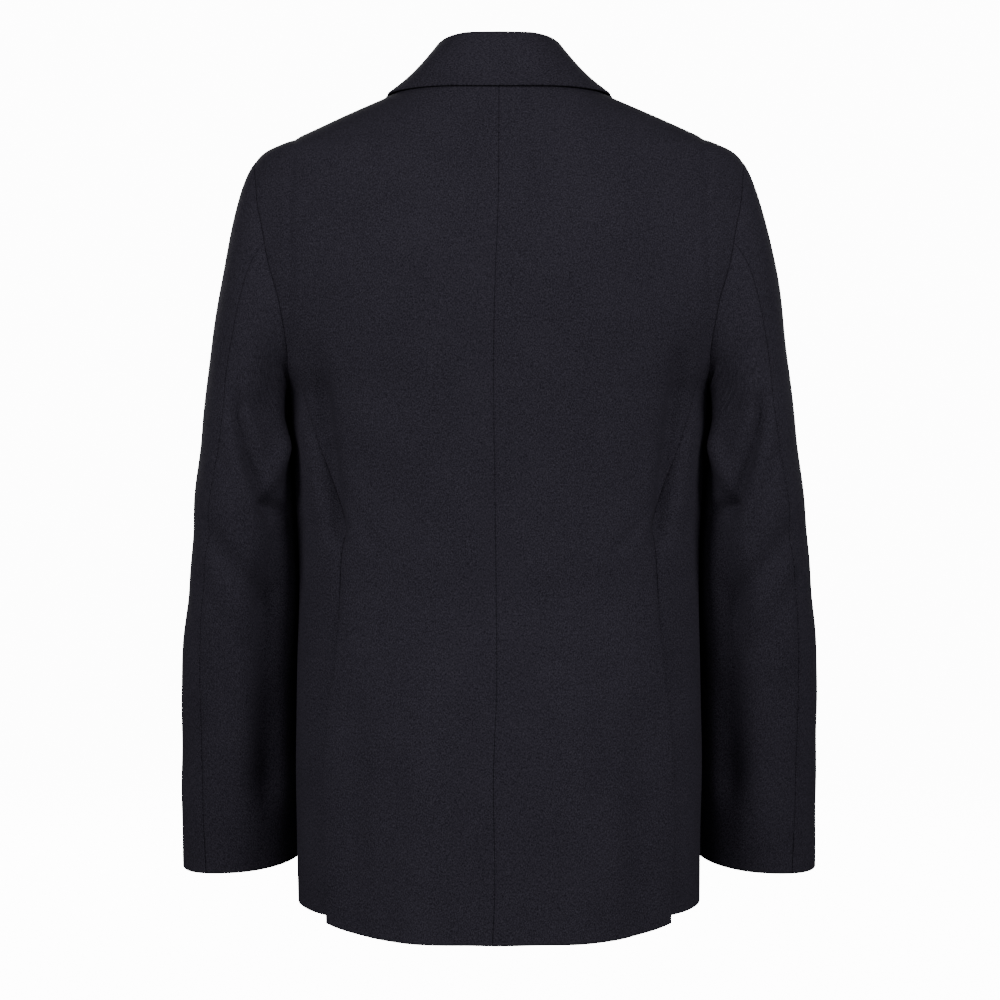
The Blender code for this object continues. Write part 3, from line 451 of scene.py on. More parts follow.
# %% Rows of a panel: from the hem up the side seam, round the armhole and along the shoulder
SPACING = 0.003  # between neighbouring points of the cloth
FINE_STEPS = 120  # for measuring a path
SIDE_HEM, FRONT_HEM = -0.7159, -0.7225
BACK_HEM_AT_VENT, BACK_HEM_AT_CENTRE = -0.7240, -0.7381
VENT_TOP, VENT_STEP = -0.500, 0.006
VENT_ROWS, SEAM_ROWS, RIDGE_ROWS = 6, 9, 5
JOINT_ROW = VENT_ROWS + SEAM_ROWS


def side_levels(hem_height):
    top = armhole(SEAM_MEETS_ARMHOLE)[1]
    low = np.linspace(hem_height, VENT_TOP, VENT_ROWS + 1)
    return np.concatenate([low, np.linspace(VENT_TOP + VENT_STEP, top, SEAM_ROWS)])


def row_end(row, turns, levels, seam_x, angle_of):
    """Angle and height where a row ends. Whole numbers are the solid's rows, fractions lie between."""
    tip = JOINT_ROW + len(turns) - 1
    if row <= JOINT_ROW - 1:
        z = np.interp(row, range(len(levels)), levels)
        return np.array([angle_of(seam_x(z), z), z])
    if row < JOINT_ROW:
        below = row_end(JOINT_ROW - 1, turns, levels, seam_x, angle_of)
        return below + (np.array(armhole(turns[0])) - below) * (row - JOINT_ROW + 1)
    if row <= tip:
        return np.array(armhole(np.interp(row - JOINT_ROW, range(len(turns)), turns)))
    return np.array([np.pi / 2, SHOULDER_TIP + (NECK_POINT - SHOULDER_TIP) * (row - tip) / RIDGE_ROWS])


def fine_rows(end_at, start_at, last):
    """Row numbers so close together that no two rows are further apart than the spacing."""
    numbers = [0.0]
    for row in range(last):
        gap = max(
            np.linalg.norm(body(*end_at(row + 1)) - body(*end_at(row))),
            np.linalg.norm(body(*start_at(row + 1)) - body(*start_at(row))),
        )
        parts = max(1, math.ceil(gap / SPACING))
        numbers += [row + (i + 1) / parts for i in range(parts)]
    return numbers


def run_along(points):
    """How far along a path each of its points lies."""
    return np.concatenate([[0], np.cumsum(np.linalg.norm(np.diff(points, axis=0), axis=1))])


def evenly(path, count):
    """Angle and height of evenly spaced points on a path over the body."""
    fine = np.linspace(0, 1, FINE_STEPS)
    run = run_along(body(*path(fine)))
    return path(np.interp(np.linspace(0, run[-1], count), run, fine))


def rows_between(starts, ends, count, bend):
    """Rows from start to end points, each an angle and a height."""
    angles, heights = [], []
    for (a0, z0), (a1, z1) in zip(starts, ends):
        a, z = evenly(lambda t: (a0 + (a1 - a0) * t, z0 + (z1 - z0) * t**bend), count)
        angles.append(a)
        heights.append(z)
    return np.array(angles), np.array(heights)


print("heights of the solid's rows at the side:", side_levels(SIDE_HEM).round(3))

# %% [markdown]
# ## Wool
# A fine worsted in a dark navy-charcoal. What makes such a cloth look like wool is that no two threads
# have quite the same colour: the yarn is spun from blue, grey and black fibres. So the colour comes
# from three noises: one stretched along the threads, one fine and even, and one broad and very faint.
# The twill weave, with its diagonal ribs, is a bump, because it is finer than any mesh we want.

# %% The woollen cloth
WOOL_DARK = (0.0080, 0.0070, 0.0115, 1)
WOOL_LIGHT = (0.0360, 0.0328, 0.0455, 1)
RIB = 0.0009  # from one rib of the twill to the next


def node(tree, kind, inputs=(), **settings):
    """A shader node with its settings, and its inputs given as names with numbers or other sockets."""
    made = tree.nodes.new(kind)
    for name, value in settings.items():
        setattr(made, name, value)
    for name, value in dict(inputs).items():
        if isinstance(value, bpy.types.NodeSocket):
            tree.links.new(value, made.inputs[name])
        else:
            made.inputs[name].default_value = value
    return made


def plain_finish(name, colour, roughness):
    made = bpy.data.materials.new(name)
    made.use_nodes = True
    shader = made.node_tree.nodes["Principled BSDF"]
    shader.inputs["Base Color"].default_value = colour
    shader.inputs["Roughness"].default_value = roughness
    return made, made.node_tree, shader


def two_colours(tree, shader, mask, dark, light):
    """Colour a finish from dark to light between two values of a noise, each a value and a colour."""
    ramp = node(tree, "ShaderNodeValToRGB", {"Fac": mask})
    for element, (value, colour) in zip(ramp.color_ramp.elements, (dark, light)):
        element.position, element.color = value, colour
    tree.links.new(ramp.outputs["Color"], shader.inputs["Base Color"])


def wool_cloth():
    made, tree, shader = plain_finish("wool", WOOL_LIGHT, 0.92)
    threads = node(tree, "ShaderNodeAttribute", attribute_name="threads").outputs["Vector"]
    place = node(tree, "ShaderNodeTexCoord").outputs["Object"]
    along = node(tree, "ShaderNodeMapping", {"Vector": threads, "Scale": (1 / 0.0010, 1 / 0.0017, 1)})
    streaks = node(tree, "ShaderNodeTexNoise", {"Vector": along.outputs[0], "Scale": 1, "Detail": 2})
    grains = node(tree, "ShaderNodeTexNoise", {"Vector": place, "Scale": 1150, "Detail": 2})
    patches = node(tree, "ShaderNodeTexNoise", {"Vector": place, "Scale": 22, "Detail": 2})
    first = node(tree, "ShaderNodeMix", {"Factor": 0.55, "A": streaks.outputs[0], "B": grains.outputs[0]})
    mixed = node(tree, "ShaderNodeMix", {"Factor": 0.05, "A": first.outputs[0], "B": patches.outputs[0]})
    two_colours(tree, shader, mixed.outputs[0], (0.38, WOOL_DARK), (0.64, WOOL_LIGHT))
    ribs = node(tree, "ShaderNodeMapping", {"Vector": threads, "Rotation": (0, 0, math.radians(27))})
    ribbing = {"Vector": ribs.outputs[0], "Scale": 0.314 / RIB, "Distortion": 0.6}
    wave = node(tree, "ShaderNodeTexWave", ribbing)
    height = node(tree, "ShaderNodeMix", {"Factor": 0.5, "A": wave.outputs["Fac"], "B": grains.outputs[0]})
    bump = node(tree, "ShaderNodeBump", {"Height": height.outputs[0], "Strength": 0.5, "Distance": 0.0003})
    tree.links.new(bump.outputs["Normal"], shader.inputs["Normal"])
    shader.inputs["Specular IOR Level"].default_value = 0.1
    return made


wool = wool_cloth()
print("wool: ribs", RIB * 1000, "mm apart")

# %% [markdown]
# ## The two backs
# Each back runs from the centre seam to the side seam, the armhole and the shoulder. Below the vent's
# top its side edge is free and lies over the side panel. Rows of points fan out from the centre seam,
# and bend so that they leave it level, because the cloth passes smoothly over the spine.

# %% Backs
ARMPIT_AT_CENTRE, SHOULDER_AT_CENTRE = -0.235, -0.085
BACK_BEND, BACK_COLUMNS = 3, 76
BACK_TURNS = [a for a in ARMHOLE_TURNS[::-1] if 0 <= a < SEAM_MEETS_ARMHOLE - 4]
BACK_TURNS = [SEAM_MEETS_ARMHOLE, *BACK_TURNS]
BACK_LAST = JOINT_ROW + len(BACK_TURNS) - 1 + RIDGE_ROWS
# The hem of the back sags most between vent and centre
HEM_SAG, SAG_START, SAG_ANGLE, SAG_WIDTH = 0.0022, -0.690, 0.92, 0.42
# By how much the centre seam wanders to the wearer's left, by height
DRIFT = [
    (-0.740, 0.0054),
    (-0.685, 0.0034),
    (-0.605, 0.0046),
    (-0.514, 0.0018),
    (-0.420, 0.0026),
    (-0.351, 0.0035),
    (-0.254, 0.0046),
    (-0.168, 0.0029),
    (-0.138, 0.0014),
    (-0.100, 0.0004),
    (0.000, 0.0),
]
DRIFT_FADE = (0, 0.7)
centre_drift = curve_through(DRIFT, ("height", "drift"), "drift")


def back_end(row):
    return row_end(row, BACK_TURNS, side_levels(BACK_HEM_AT_VENT), side_back_x, back_angle)


def back_start(row):
    knots = [0, VENT_ROWS, JOINT_ROW, BACK_LAST - RIDGE_ROWS, BACK_LAST]
    levels = [BACK_HEM_AT_CENTRE, VENT_TOP, ARMPIT_AT_CENTRE, SHOULDER_AT_CENTRE, 0.0]
    return np.array([0.0, np.interp(row, knots, levels)])


def seam_drift(angles, heights, side):
    """A sewn centre seam is never quite straight: both backs give way by this angle beside it."""
    return side * centre_drift(heights) / back_depth(heights) * (1 - smooth_step(*DRIFT_FADE, angles))


def back_panel(side):
    numbers = fine_rows(back_end, back_start, BACK_LAST)
    starts, ends = [back_start(n) for n in numbers], [back_end(n) for n in numbers]
    angles, heights = rows_between(starts, ends, BACK_COLUMNS, BACK_BEND)
    angles = angles + seam_drift(angles, heights, side)
    low = smooth_step(SAG_START, BACK_HEM_AT_VENT, heights)
    heights = heights - HEM_SAG * low * bell(angles, SAG_ANGLE, SAG_WIDTH)
    outer, inner = both_faces(angles, heights, 0.0, side)
    free = np.zeros(angles.shape)
    free[0] = 1
    free[np.array(numbers) < VENT_ROWS, -1] = 1
    return cloth("back_" + SIDE_NAMES[side], outer, inner, free, hem=0)


backs = [back_panel(side) for side in SIDE_NAMES]
print("each back has", len(backs[0].data.polygons), "faces")

# %% [markdown]
# ## The side panels
# A side panel covers the body under the arm. Below the top of the vent it is cut wider and runs on as
# a strip under the back, so that nothing shows through when the vent opens. There it has to lie one
# thickness of cloth deeper, and it sinks to that depth gradually.

# %% Side panels
UNDERLAP, VENT_RADIUS = 0.034, 0.155
UNDER_OFFSET = 0.0034
STRIP_RISE, STRIP_SINK = 0.060, (0.35, 0.02)
# The hem sags a little towards the vent
SIDE_HEM_DIP, DIP_START, DIP_ANGLES = 0.0040, -0.64, (1.55, 1.10)
HEM_SWEEP = 6  # how late, going up, the rows of the side panel start to bow to the armhole
SIDE_COLUMNS = 44


def side_panel(side):
    levels = side_levels(SIDE_HEM)
    turns = np.linspace(SEAM_MEETS_ARMHOLE, 360 - SEAM_MEETS_ARMHOLE, SIDE_COLUMNS)
    top = np.stack(armhole(turns), axis=-1)

    def row_at(z):
        seam = back_angle(side_back_x(z), z)
        end = front_angle(side_front_x(z), z)
        strip = UNDERLAP / VENT_RADIUS * np.clip((VENT_TOP + VENT_STEP - z) / VENT_STEP, 0, 1)
        a, h = evenly(lambda t: (seam - strip + (end - seam + strip) * t, z + 0 * t), SIDE_COLUMNS)
        risen = ((z - levels[0]) / (levels[-1] - levels[0])) ** HEM_SWEEP
        lap = smooth_step(VENT_TOP + STRIP_RISE, VENT_TOP + VENT_STEP, z)
        sunk = lap * smooth_step(seam + STRIP_SINK[0], seam + STRIP_SINK[1], a)
        dip = SIDE_HEM_DIP * smooth_step(DIP_START, SIDE_HEM, z) * smooth_step(*DIP_ANGLES, a)
        return a, h + (top[:, 1] - levels[-1]) * risen - dip, UNDER_OFFSET * sunk

    parts = [max(1, math.ceil(gap / SPACING)) for gap in np.diff(levels)]
    fine = [z for low, gap, n in zip(levels, np.diff(levels), parts) for z in low + gap * np.arange(n) / n]
    last_straight = levels[-2]
    rows = []
    for z in [*fine, levels[-1]]:
        a, h, inset = row_at(min(z, last_straight))
        climb = max(0.0, (z - last_straight) / (levels[-1] - last_straight))
        rows.append((a + (top[:, 0] - a) * climb, h + (top[:, 1] - h) * climb, inset * (1 - climb)))
    angles, heights, insets = (np.array(column) for column in zip(*rows))
    outer, inner = both_faces(angles, heights, insets, side)
    free = np.zeros(angles.shape)
    free[0] = 1
    free[: sum(z < VENT_TOP for z in fine), 0] = 1
    return cloth("side_" + SIDE_NAMES[side], outer, inner, free, hem=0, grain_from_end=True)


side_panels = [side_panel(side) for side in SIDE_NAMES]
print("each side panel has", len(side_panels[0].data.polygons), "faces")

# %% [markdown]
# ## The fronts
# A front ends at its free edge, which is straight down to the lower button and then curves away to
# the hem. Above the top button the cloth folds over at the break line and becomes the lapel, so the
# front piece stops there. The wearer's left front laps over the right one, which lies a little deeper.

# %% Fronts
BREAK_HEIGHT, FRONT_OVERLAP = -0.372, 0.018
CUTAWAY_START, CUTAWAY, CUTAWAY_SHAPE = -0.480, 0.082, (3.0, 0.6)
GORGE, NOTCH = (0.060, -0.055), (0.096, -0.080)
FRONT_BEND, FRONT_COLUMNS = 1.6, 84
FRONT_EDGE_LEVELS = [FRONT_HEM, -0.7210, -0.7165, -0.7080, -0.6930, -0.6680, -0.6300, -0.5800, -0.5200]
FRONT_EDGE_LEVELS += [-0.4450, BREAK_HEIGHT]
ARMPIT_AT_FOLD, SHOULDER_AT_FOLD = -0.262, -0.120
UNDER_FADE = (0.050, 0.024)
FRONT_TURNS = [a for a in ARMHOLE_TURNS if 360 - SEAM_MEETS_ARMHOLE + 4 < a <= 360]
FRONT_TURNS = [360 - SEAM_MEETS_ARMHOLE, *FRONT_TURNS]
FRONT_LAST = JOINT_ROW + len(FRONT_TURNS) - 1 + RIDGE_ROWS


def front_edge_x(z):
    low = np.clip((CUTAWAY_START - z) / (CUTAWAY_START - FRONT_HEM), 0, 1)
    start, end = CUTAWAY_SHAPE
    return -FRONT_OVERLAP + CUTAWAY * (1 - (1 - low**start) ** end)


def break_x(z):
    share = (z - BREAK_HEIGHT) / (GORGE[1] - BREAK_HEIGHT)
    return -FRONT_OVERLAP + (GORGE[0] + FRONT_OVERLAP) * share


def front_end(row):
    return row_end(row, FRONT_TURNS, side_levels(SIDE_HEM), side_front_x, front_angle)


def front_start(row):
    knots = [*range(len(FRONT_EDGE_LEVELS)), JOINT_ROW, FRONT_LAST - RIDGE_ROWS, FRONT_LAST]
    z = np.interp(row, knots, [*FRONT_EDGE_LEVELS, ARMPIT_AT_FOLD, SHOULDER_AT_FOLD, GORGE[1]])
    return np.array([front_angle(front_edge_x(z) if z < BREAK_HEIGHT else break_x(z), z), z])


def front_panel(side):
    numbers = fine_rows(front_end, front_start, FRONT_LAST)
    ends, starts = [front_end(n) for n in numbers], [front_start(n) for n in numbers]
    angles, heights = rows_between(ends, starts, FRONT_COLUMNS, FRONT_BEND)
    under = 0.0
    if side < 0:
        under = UNDER_OFFSET * smooth_step(*UNDER_FADE, body(angles, heights)[..., 0])
    outer, inner = both_faces(angles, heights, under, side)
    free = np.zeros(angles.shape)
    free[0] = free[:, -1] = 1
    return cloth("front_" + SIDE_NAMES[side], outer, inner, free, hem=0)


fronts = [front_panel(side) for side in SIDE_NAMES]
print("each front has", len(fronts[0].data.polygons), "faces")

# %% [markdown]
# ## The lapels
# A lapel is the top of the front, folded back and pressed. Its fold is a soft roll, not a crease, and
# its free edge lies just above the chest. We lay a section across it at every height: two rows of
# points, above and below, that start in the roll and end in the edge.

# %% Lapels
LAPEL_CORNER = (0.126, -0.078)
LAPEL_BELLY = ((0.040, -0.305), (0.122, -0.200))
LAPEL_TOP, LAPEL_UNDERSIDE = 0.0033, 0.0011
MIDDLE_SHARE, LEAST_SHARE = 0.53, 0.035
TUCK, TUCK_START, ROLL_FADE = 0.0070, 0.20, (0.28, 0.34)
# Across a lapel: steps from the fold in metres, then shares of the way to the edge, and the heights of
# its two faces over the front
LAPEL_SECTION = [
    (-0.0030, 0.0026, 0.00, -0.0014, -0.0014),
    (-0.0022, 0.0018, 0.00, 0.0030, 0.0008),
    (0.0045, 0.0, 0.00, 0.0047, 0.0024),
    (0.0, 0.0, 0.30, 0.0040, 0.0017),
    (0.0, 0.0, 0.53, 0.0036, 0.0014),
    (0.0, 0.0, 0.76, 0.0033, 0.0011),
    (0.0, 0.0, 1.00, 0.0033, 0.0011),
]
LAPEL_PLACES = np.concatenate([np.linspace(0, 2, 9), np.linspace(2, 6, 33)[1:]])
LAPEL_ROWS = {1: 112, -1: 92}
NEAR_NOTCH = (0.93, 1.0)


def lapel_edge(share):
    points = np.array([(-FRONT_OVERLAP, BREAK_HEIGHT), *LAPEL_BELLY, LAPEL_CORNER])
    s = np.asarray(share, float)[..., None]
    start, first, second, end = points
    return (1 - s) ** 3 * start + 3 * s * (1 - s) ** 2 * first + 3 * s * s * (1 - s) * second + s**3 * end


def spline(points, at):
    """Points on a Catmull-Rom curve through points, at places counted in points from the first."""
    padded = np.concatenate([[2 * points[0] - points[1]], points, [2 * points[-1] - points[-2]]])
    made = []
    for place in at:
        i = min(int(place), len(points) - 2)
        s = place - i
        a, b, c, d = padded[i : i + 4]
        curved = (2 * a - 5 * b + 4 * c - d) * s**2 + (3 * b - a - 3 * c + d) * s**3
        made.append((2 * b + (c - a) * s + curved) / 2)
    return np.array(made)


def lapel_rows(share, side):
    """The upper and the lower row of a lapel, at a share of the fold's length from the break."""
    z = BREAK_HEIGHT + (GORGE[1] - BREAK_HEIGHT) * share
    fold_x, rolled, tucked = break_x(z), 1.0, False
    if side < 0:
        tucked = fold_x < TUCK / 2
        fold_x = max(fold_x, TUCK - fold_x)
        rolled = smooth_step(*ROLL_FADE, share)
    fold, edge = np.array([fold_x, z]), lapel_edge(max(share, LEAST_SHARE))
    to_notch = smooth_step(*NEAR_NOTCH, share)
    middle = (fold + edge) / 2 * (1 - to_notch) + np.array(NOTCH) * to_notch
    width = np.hypot(*(middle - fold))
    across = (middle - fold) / width
    upper, lower = [], []
    for shift, low_shift, part, high, low in LAPEL_SECTION:
        near, far = min(part / MIDDLE_SHARE, 1), max(part - MIDDLE_SHARE, 0) / (1 - MIDDLE_SHARE)
        place = fold + (middle - fold) * near + (edge - middle) * far
        if part == 0:
            high = LAPEL_TOP + (high - LAPEL_TOP) * rolled
            low = LAPEL_UNDERSIDE + (low - LAPEL_UNDERSIDE) * rolled
        if tucked and shift < 0:
            shift -= LAPEL_SECTION[0][0]
        for row, extra, off in ((upper, 0.0, high), (lower, low_shift * rolled, low)):
            x, height = place + across * (min(shift, width / 3) + extra)
            under = UNDER_OFFSET * smooth_step(*UNDER_FADE, x) if side < 0 else 0.0
            row.append(on_form(front_angle(x, height), height, off - under, side))
    return spline(np.array(upper), LAPEL_PLACES), spline(np.array(lower), LAPEL_PLACES)


def lapel(side):
    shares = np.linspace(0 if side > 0 else TUCK_START, 1, LAPEL_ROWS[side])
    upper, lower = zip(*(lapel_rows(share, side) for share in shares))
    flip = np.array([side, 1, 1])
    free = np.zeros((len(shares), len(LAPEL_PLACES)))
    free[:, -1] = 1
    free[-1, LAPEL_PLACES > 4] = 1
    return cloth("lapel_" + SIDE_NAMES[side], np.array(upper) * flip, np.array(lower) * flip, free)


lapels = [lapel(side) for side in SIDE_NAMES]
print("each lapel has", len(lapels[0].data.polygons), "faces")

# %% [markdown]
# ## The collar
# The collar is one band, sewn to the neck with its stand and folded over at the top, and its fall
# covers the seam. A table gives the fold's course round the neck. From it we build a section at many
# places: up from the neck seam, over the fold, and down to the free edge that rests on the back.
# Towards the front the fall lies flat on the chest and meets the lapel in a straight seam, the gorge.

# %% The collar's fold and edges
COLLAR_COLUMNS = ("along", "fold_x", "fold_y", "fold_z", "faces")
COLLAR = [
    (0.00, 0.0000, 0.0500, 0.0374, 0),
    (0.30, 0.0250, 0.0465, 0.0375, 24),
    (0.55, 0.0415, 0.0360, 0.0360, 50),
    (0.80, 0.0520, 0.0190, 0.0322, 74),
    (1.00, 0.0555, 0.0030, 0.0285, 86),
    (1.35, 0.0580, -0.0200, 0.0090, 91),
    (1.70, 0.0590, -0.0410, -0.0220, 87),
    (1.90, 0.0590, -0.0525, -0.0415, 80),
    (2.00, 0.0590, -0.0585, -0.0512, 76),
]
collar_fold = {name: curve_through(COLLAR, COLLAR_COLUMNS, name) for name in COLLAR_COLUMNS[1:]}
COLLAR_EDGE, COLLAR_SIDE_X, COLLAR_CORNER = -0.0120, 0.0977, (0.113, -0.056)
COLLAR_ROLL = 0.0040
COLLAR_BULGE, HOLLOW_SIDE, HOLLOW_WHERE = 0.0024, 0.0030, (0.55, 0.95)
LIES_FLAT = (1.35, 2.0)
CHEST_CLEARANCE = 0.0008
OUTER_FOLD, NOTCH_PLACE = 4, 6
COLLAR_PLACES = np.concatenate([np.linspace(0, 2, 13), np.linspace(2, 4, 15)[1:], np.linspace(4, 7, 25)[1:]])


def neck_seam(along):
    """Angle and height of the neck seam: 0 at the centre back, 1 at the neck point, 2 at the gorge."""
    if along <= 1:
        return np.pi / 2 * along, NECK_POINT * along**BACK_BEND
    share = along - 1
    angle = np.pi / 2 + (front_angle(*GORGE) - np.pi / 2) * share
    return angle, NECK_POINT + (GORGE[1] - NECK_POINT) * share**FRONT_BEND


def height_where(angle, x):
    """The height, on the shoulder or chest, where the body has this x at this angle."""
    low, high = -0.12, 0.0
    for _ in range(40):
        middle = (low + high) / 2
        low, high = (middle, high) if body(angle, middle)[0] > x else (low, middle)
    return low


def collar_edge(along):
    if along <= 1:
        return np.pi / 2 * along, COLLAR_EDGE
    share = along - 1
    angle = np.pi / 2 + (front_angle(*COLLAR_CORNER) - np.pi / 2) * share**0.85
    return angle, height_where(angle, COLLAR_SIDE_X + (COLLAR_CORNER[0] - COLLAR_SIDE_X) * share)


def over_body(angle, z):
    return on_form(angle, z, LAPEL_UNDERSIDE + WALL / 2, 1)


def on_gorge(share):
    x, z = np.array(GORGE) * (1 - share) + np.array(NOTCH) * share
    return over_body(front_angle(x, z), z), body_normal(front_angle(x, z), z)


def clear_of_chest(point):
    nearest = over_body(front_angle(point[0], point[2]), point[2]) - np.array([0, CHEST_CLEARANCE, 0])
    return np.array([point[0], min(point[1], nearest[1]), point[2]])


print("collar edge at the shoulder seam:", over_body(*collar_edge(1.0)).round(4))


# %% The collar's section and its cloth
def collar_section(along):
    """Points of the collar's middle from neck to free edge, and the cloth's direction at its foot."""
    angle, z = neck_seam(along)
    seam, normal = on_form(angle, z, 0.0, 1), body_normal(angle, z)
    faces = np.radians(collar_fold["faces"](along))
    level, up = np.array([np.sin(faces), np.cos(faces), 0]), np.array([0, 0, 1.0])
    fold = np.array([collar_fold[name](along) for name in ("fold_x", "fold_y", "fold_z")])
    edge = over_body(*collar_edge(along))
    flat = smooth_step(*LIES_FLAT, along)
    roll = COLLAR_ROLL * (1 - 0.55 * flat)
    into = unit(np.cross(unit(np.cross(normal, up)), normal))
    if into @ (fold - seam) < 0:
        into = -into
    foot = seam - normal * WALL / 2
    inner = fold - level * roll - up * roll
    outer = fold + level * roll - up * roll * (1.1 - 0.5 * flat)
    bulge = COLLAR_BULGE - (COLLAR_BULGE + HOLLOW_SIDE) * smooth_step(*HOLLOW_WHERE, along)
    bulge = level * bulge * (1 - flat)
    free = [outer * (1 - s) + edge * s + bulge for s in (1 / 3, 2 / 3)]
    lying = [on_gorge(0.5)[0], on_gorge(1.0)[0]]
    first, second = (f * (1 - flat**2) + l * flat**2 for f, l in zip(free, lying))
    if along > 1:
        first, second = clear_of_chest(first), clear_of_chest(second)
    stand = foot + (inner - foot) * 0.5
    return np.array([foot, stand, inner, fold, outer, first, second, edge]), normal


def collar():
    half = [*np.linspace(0, 1, 42), *np.linspace(1, 2, 44)[1:]]
    middle, foot_normals = [], []
    for along in half:
        points, normal = collar_section(along)
        middle.append(spline(points, COLLAR_PLACES))
        foot_normals.append(normal)
    middle, foot_normals = np.array(middle), np.array(foot_normals)
    at_gorge = (COLLAR_PLACES > OUTER_FOLD) & (COLLAR_PLACES <= NOTCH_PLACE)
    shares = (COLLAR_PLACES - OUTER_FOLD) / (NOTCH_PLACE - OUTER_FOLD)
    pull = np.zeros((len(shares), 3))
    for i in np.flatnonzero(at_gorge):
        pull[i] = on_gorge(shares[i])[0] - middle[-1, i]
    middle += smooth_step(1.8, 2.0, np.array(half))[:, None, None] * pull
    mirror = np.array([-1, 1, 1])
    middle = np.concatenate([middle[:0:-1] * mirror, middle])
    foot_normals = np.concatenate([foot_normals[:0:-1] * mirror, foot_normals])
    through = unit(np.cross(np.gradient(middle, axis=1), np.gradient(middle, axis=0)))
    if through[len(through) // 2, -1] @ np.array([0, 1, 0]) < 0:
        through = -through
    at_foot = np.clip(1 - COLLAR_PLACES, 0, 1)[None, :, None]
    through = unit(through * (1 - at_foot) - foot_normals[:, None] * at_foot)
    outer, inner = middle + through * WALL / 2, middle - through * WALL / 2
    free = np.zeros(outer.shape[:2])
    free[:, -1] = 1
    free[0, COLLAR_PLACES > NOTCH_PLACE] = free[-1, COLLAR_PLACES > NOTCH_PLACE] = 1
    return cloth("collar", outer, inner, free)


collar_cloth = collar()
print("the collar has", len(collar_cloth.data.polygons), "faces")

# %% [markdown]
# ## The sleeves
# A tailored sleeve has two pieces, so that it can bend forward with the arm: a top sleeve in front and
# outside, and an under sleeve behind and inside. The crown starts in the armhole, turns over and hangs
# down. Between the armhole and the first hanging ring we bend every line of cloth along a smooth curve.

# %% The form of a sleeve
SLEEVE_COLUMNS = ("height", "x_outer", "x_inner", "y_middle", "half_depth", "front_rise", "inner_rise")
SLEEVE = [
    (-0.2950, 0.2597, 0.1870, 0.002, 0.0680, 0.000, 0.000),
    (-0.3212, 0.2622, 0.1840, 0.003, 0.0665, 0.000, 0.000),
    (-0.3652, 0.2675, 0.1810, 0.004, 0.0630, 0.001, 0.000),
    (-0.3916, 0.2693, 0.1798, 0.003, 0.0600, 0.002, 0.001),
    (-0.4180, 0.2724, 0.1782, 0.001, 0.0575, 0.003, 0.001),
    (-0.4447, 0.2755, 0.1776, -0.003, 0.0550, 0.004, 0.002),
    (-0.4980, 0.2799, 0.1790, -0.012, 0.0520, 0.005, 0.003),
    (-0.5787, 0.2820, 0.1802, -0.023, 0.0460, 0.007, 0.005),
    (-0.6326, 0.2826, 0.1800, -0.030, 0.0425, 0.008, 0.004),
    (-0.6846, 0.2828, 0.1795, -0.036, 0.0395, 0.0087, 0.0035),
]
sleeve_ring = {name: curve_through(SLEEVE, SLEEVE_COLUMNS, name) for name in SLEEVE_COLUMNS[1:]}
SLEEVE_TOP, SLEEVE_BOTTOM = SLEEVE[0][0], SLEEVE[-1][0]
OUTER_DROP = 0.32  # the cuff's outer corner hangs lower than its ring alone would
SLEEVE_FLARE, CROWN_DROP, CROWN_SIDE_DROP, UNDERARM_RISE = 0.06, 0.021, 0.007, 0.035


def sleeve_ring_point(turn, z):
    """A point of the hanging sleeve, the turn running from its outer side to the back."""
    outer, inner = sleeve_ring["x_outer"](z), sleeve_ring["x_inner"](z)
    x = (outer + inner) / 2 + (outer - inner) / 2 * np.cos(turn)
    y = sleeve_ring["y_middle"](z) + sleeve_ring["half_depth"](z) * np.sin(turn)
    front, inner_side = sleeve_ring["front_rise"](z), sleeve_ring["inner_rise"](z)
    outer_drop = OUTER_DROP * np.maximum(np.cos(turn), 0) ** 2
    rise = -front * (np.sin(turn) + outer_drop) - inner_side * np.cos(turn)
    return np.stack([x, y, z + rise], axis=-1)


def sleeve_point(turn, down):
    """The sleeve's form: down runs from 0 at the armhole to 1 at the first hanging ring, and on to 2."""
    turn, down = np.broadcast_arrays(np.asarray(turn, float), np.asarray(down, float))
    start = body(*armhole(np.degrees(turn)))
    ring = sleeve_ring_point(turn, np.full(turn.shape, SLEEVE_TOP))
    drop = CROWN_DROP + CROWN_SIDE_DROP * np.sin(turn) ** 2 - UNDERARM_RISE * ((1 - np.cos(turn)) / 2) ** 3
    lift = start[..., 2] - drop - SLEEVE_TOP
    lean = SLEEVE_FLARE * (1 + np.cos(turn)) * lift
    bend = ring + np.stack([-lean, 0 * lift, lift], axis=-1)
    bend[..., 1] = (bend[..., 1] + start[..., 1]) / 2
    s = np.clip(down, 0, 1)[..., None]
    crown = (1 - s) ** 2 * start + 2 * s * (1 - s) * bend + s * s * ring
    height = SLEEVE_TOP + (SLEEVE_BOTTOM - SLEEVE_TOP) * np.clip(down - 1, 0, 1)
    return np.where(down[..., None] <= 1, crown, sleeve_ring_point(turn, height))


def sleeve_normal(turn, down):
    step = 1e-3
    around = sleeve_point(turn + step, down) - sleeve_point(turn - step, down)
    below = sleeve_point(turn, np.minimum(down + step, 2)) - sleeve_point(turn, np.maximum(down - step, 0))
    return unit(np.cross(below, around))


print("cuff, outermost point:", sleeve_point(0.0, 2.0).round(4))

# %% Seams and folds of a sleeve
TURN_COLUMNS = ("height", "hindarm", "forearm")
SLEEVE_SEAMS = [
    (-0.700, 59, 248),
    (-0.580, 55, 246),
    (-0.440, 51, 244),
    (-0.390, 52, 243),
    (-0.330, 61, 240),
    (-0.295, 67, 238),
    (-0.200, 74, 236),
]
hindarm_angle = curve_through(SLEEVE_SEAMS, TURN_COLUMNS, "hindarm")
forearm_angle = curve_through(SLEEVE_SEAMS, TURN_COLUMNS, "forearm")
HINDARM_AT_ARMHOLE, FOREARM_AT_ARMHOLE = 75, 240
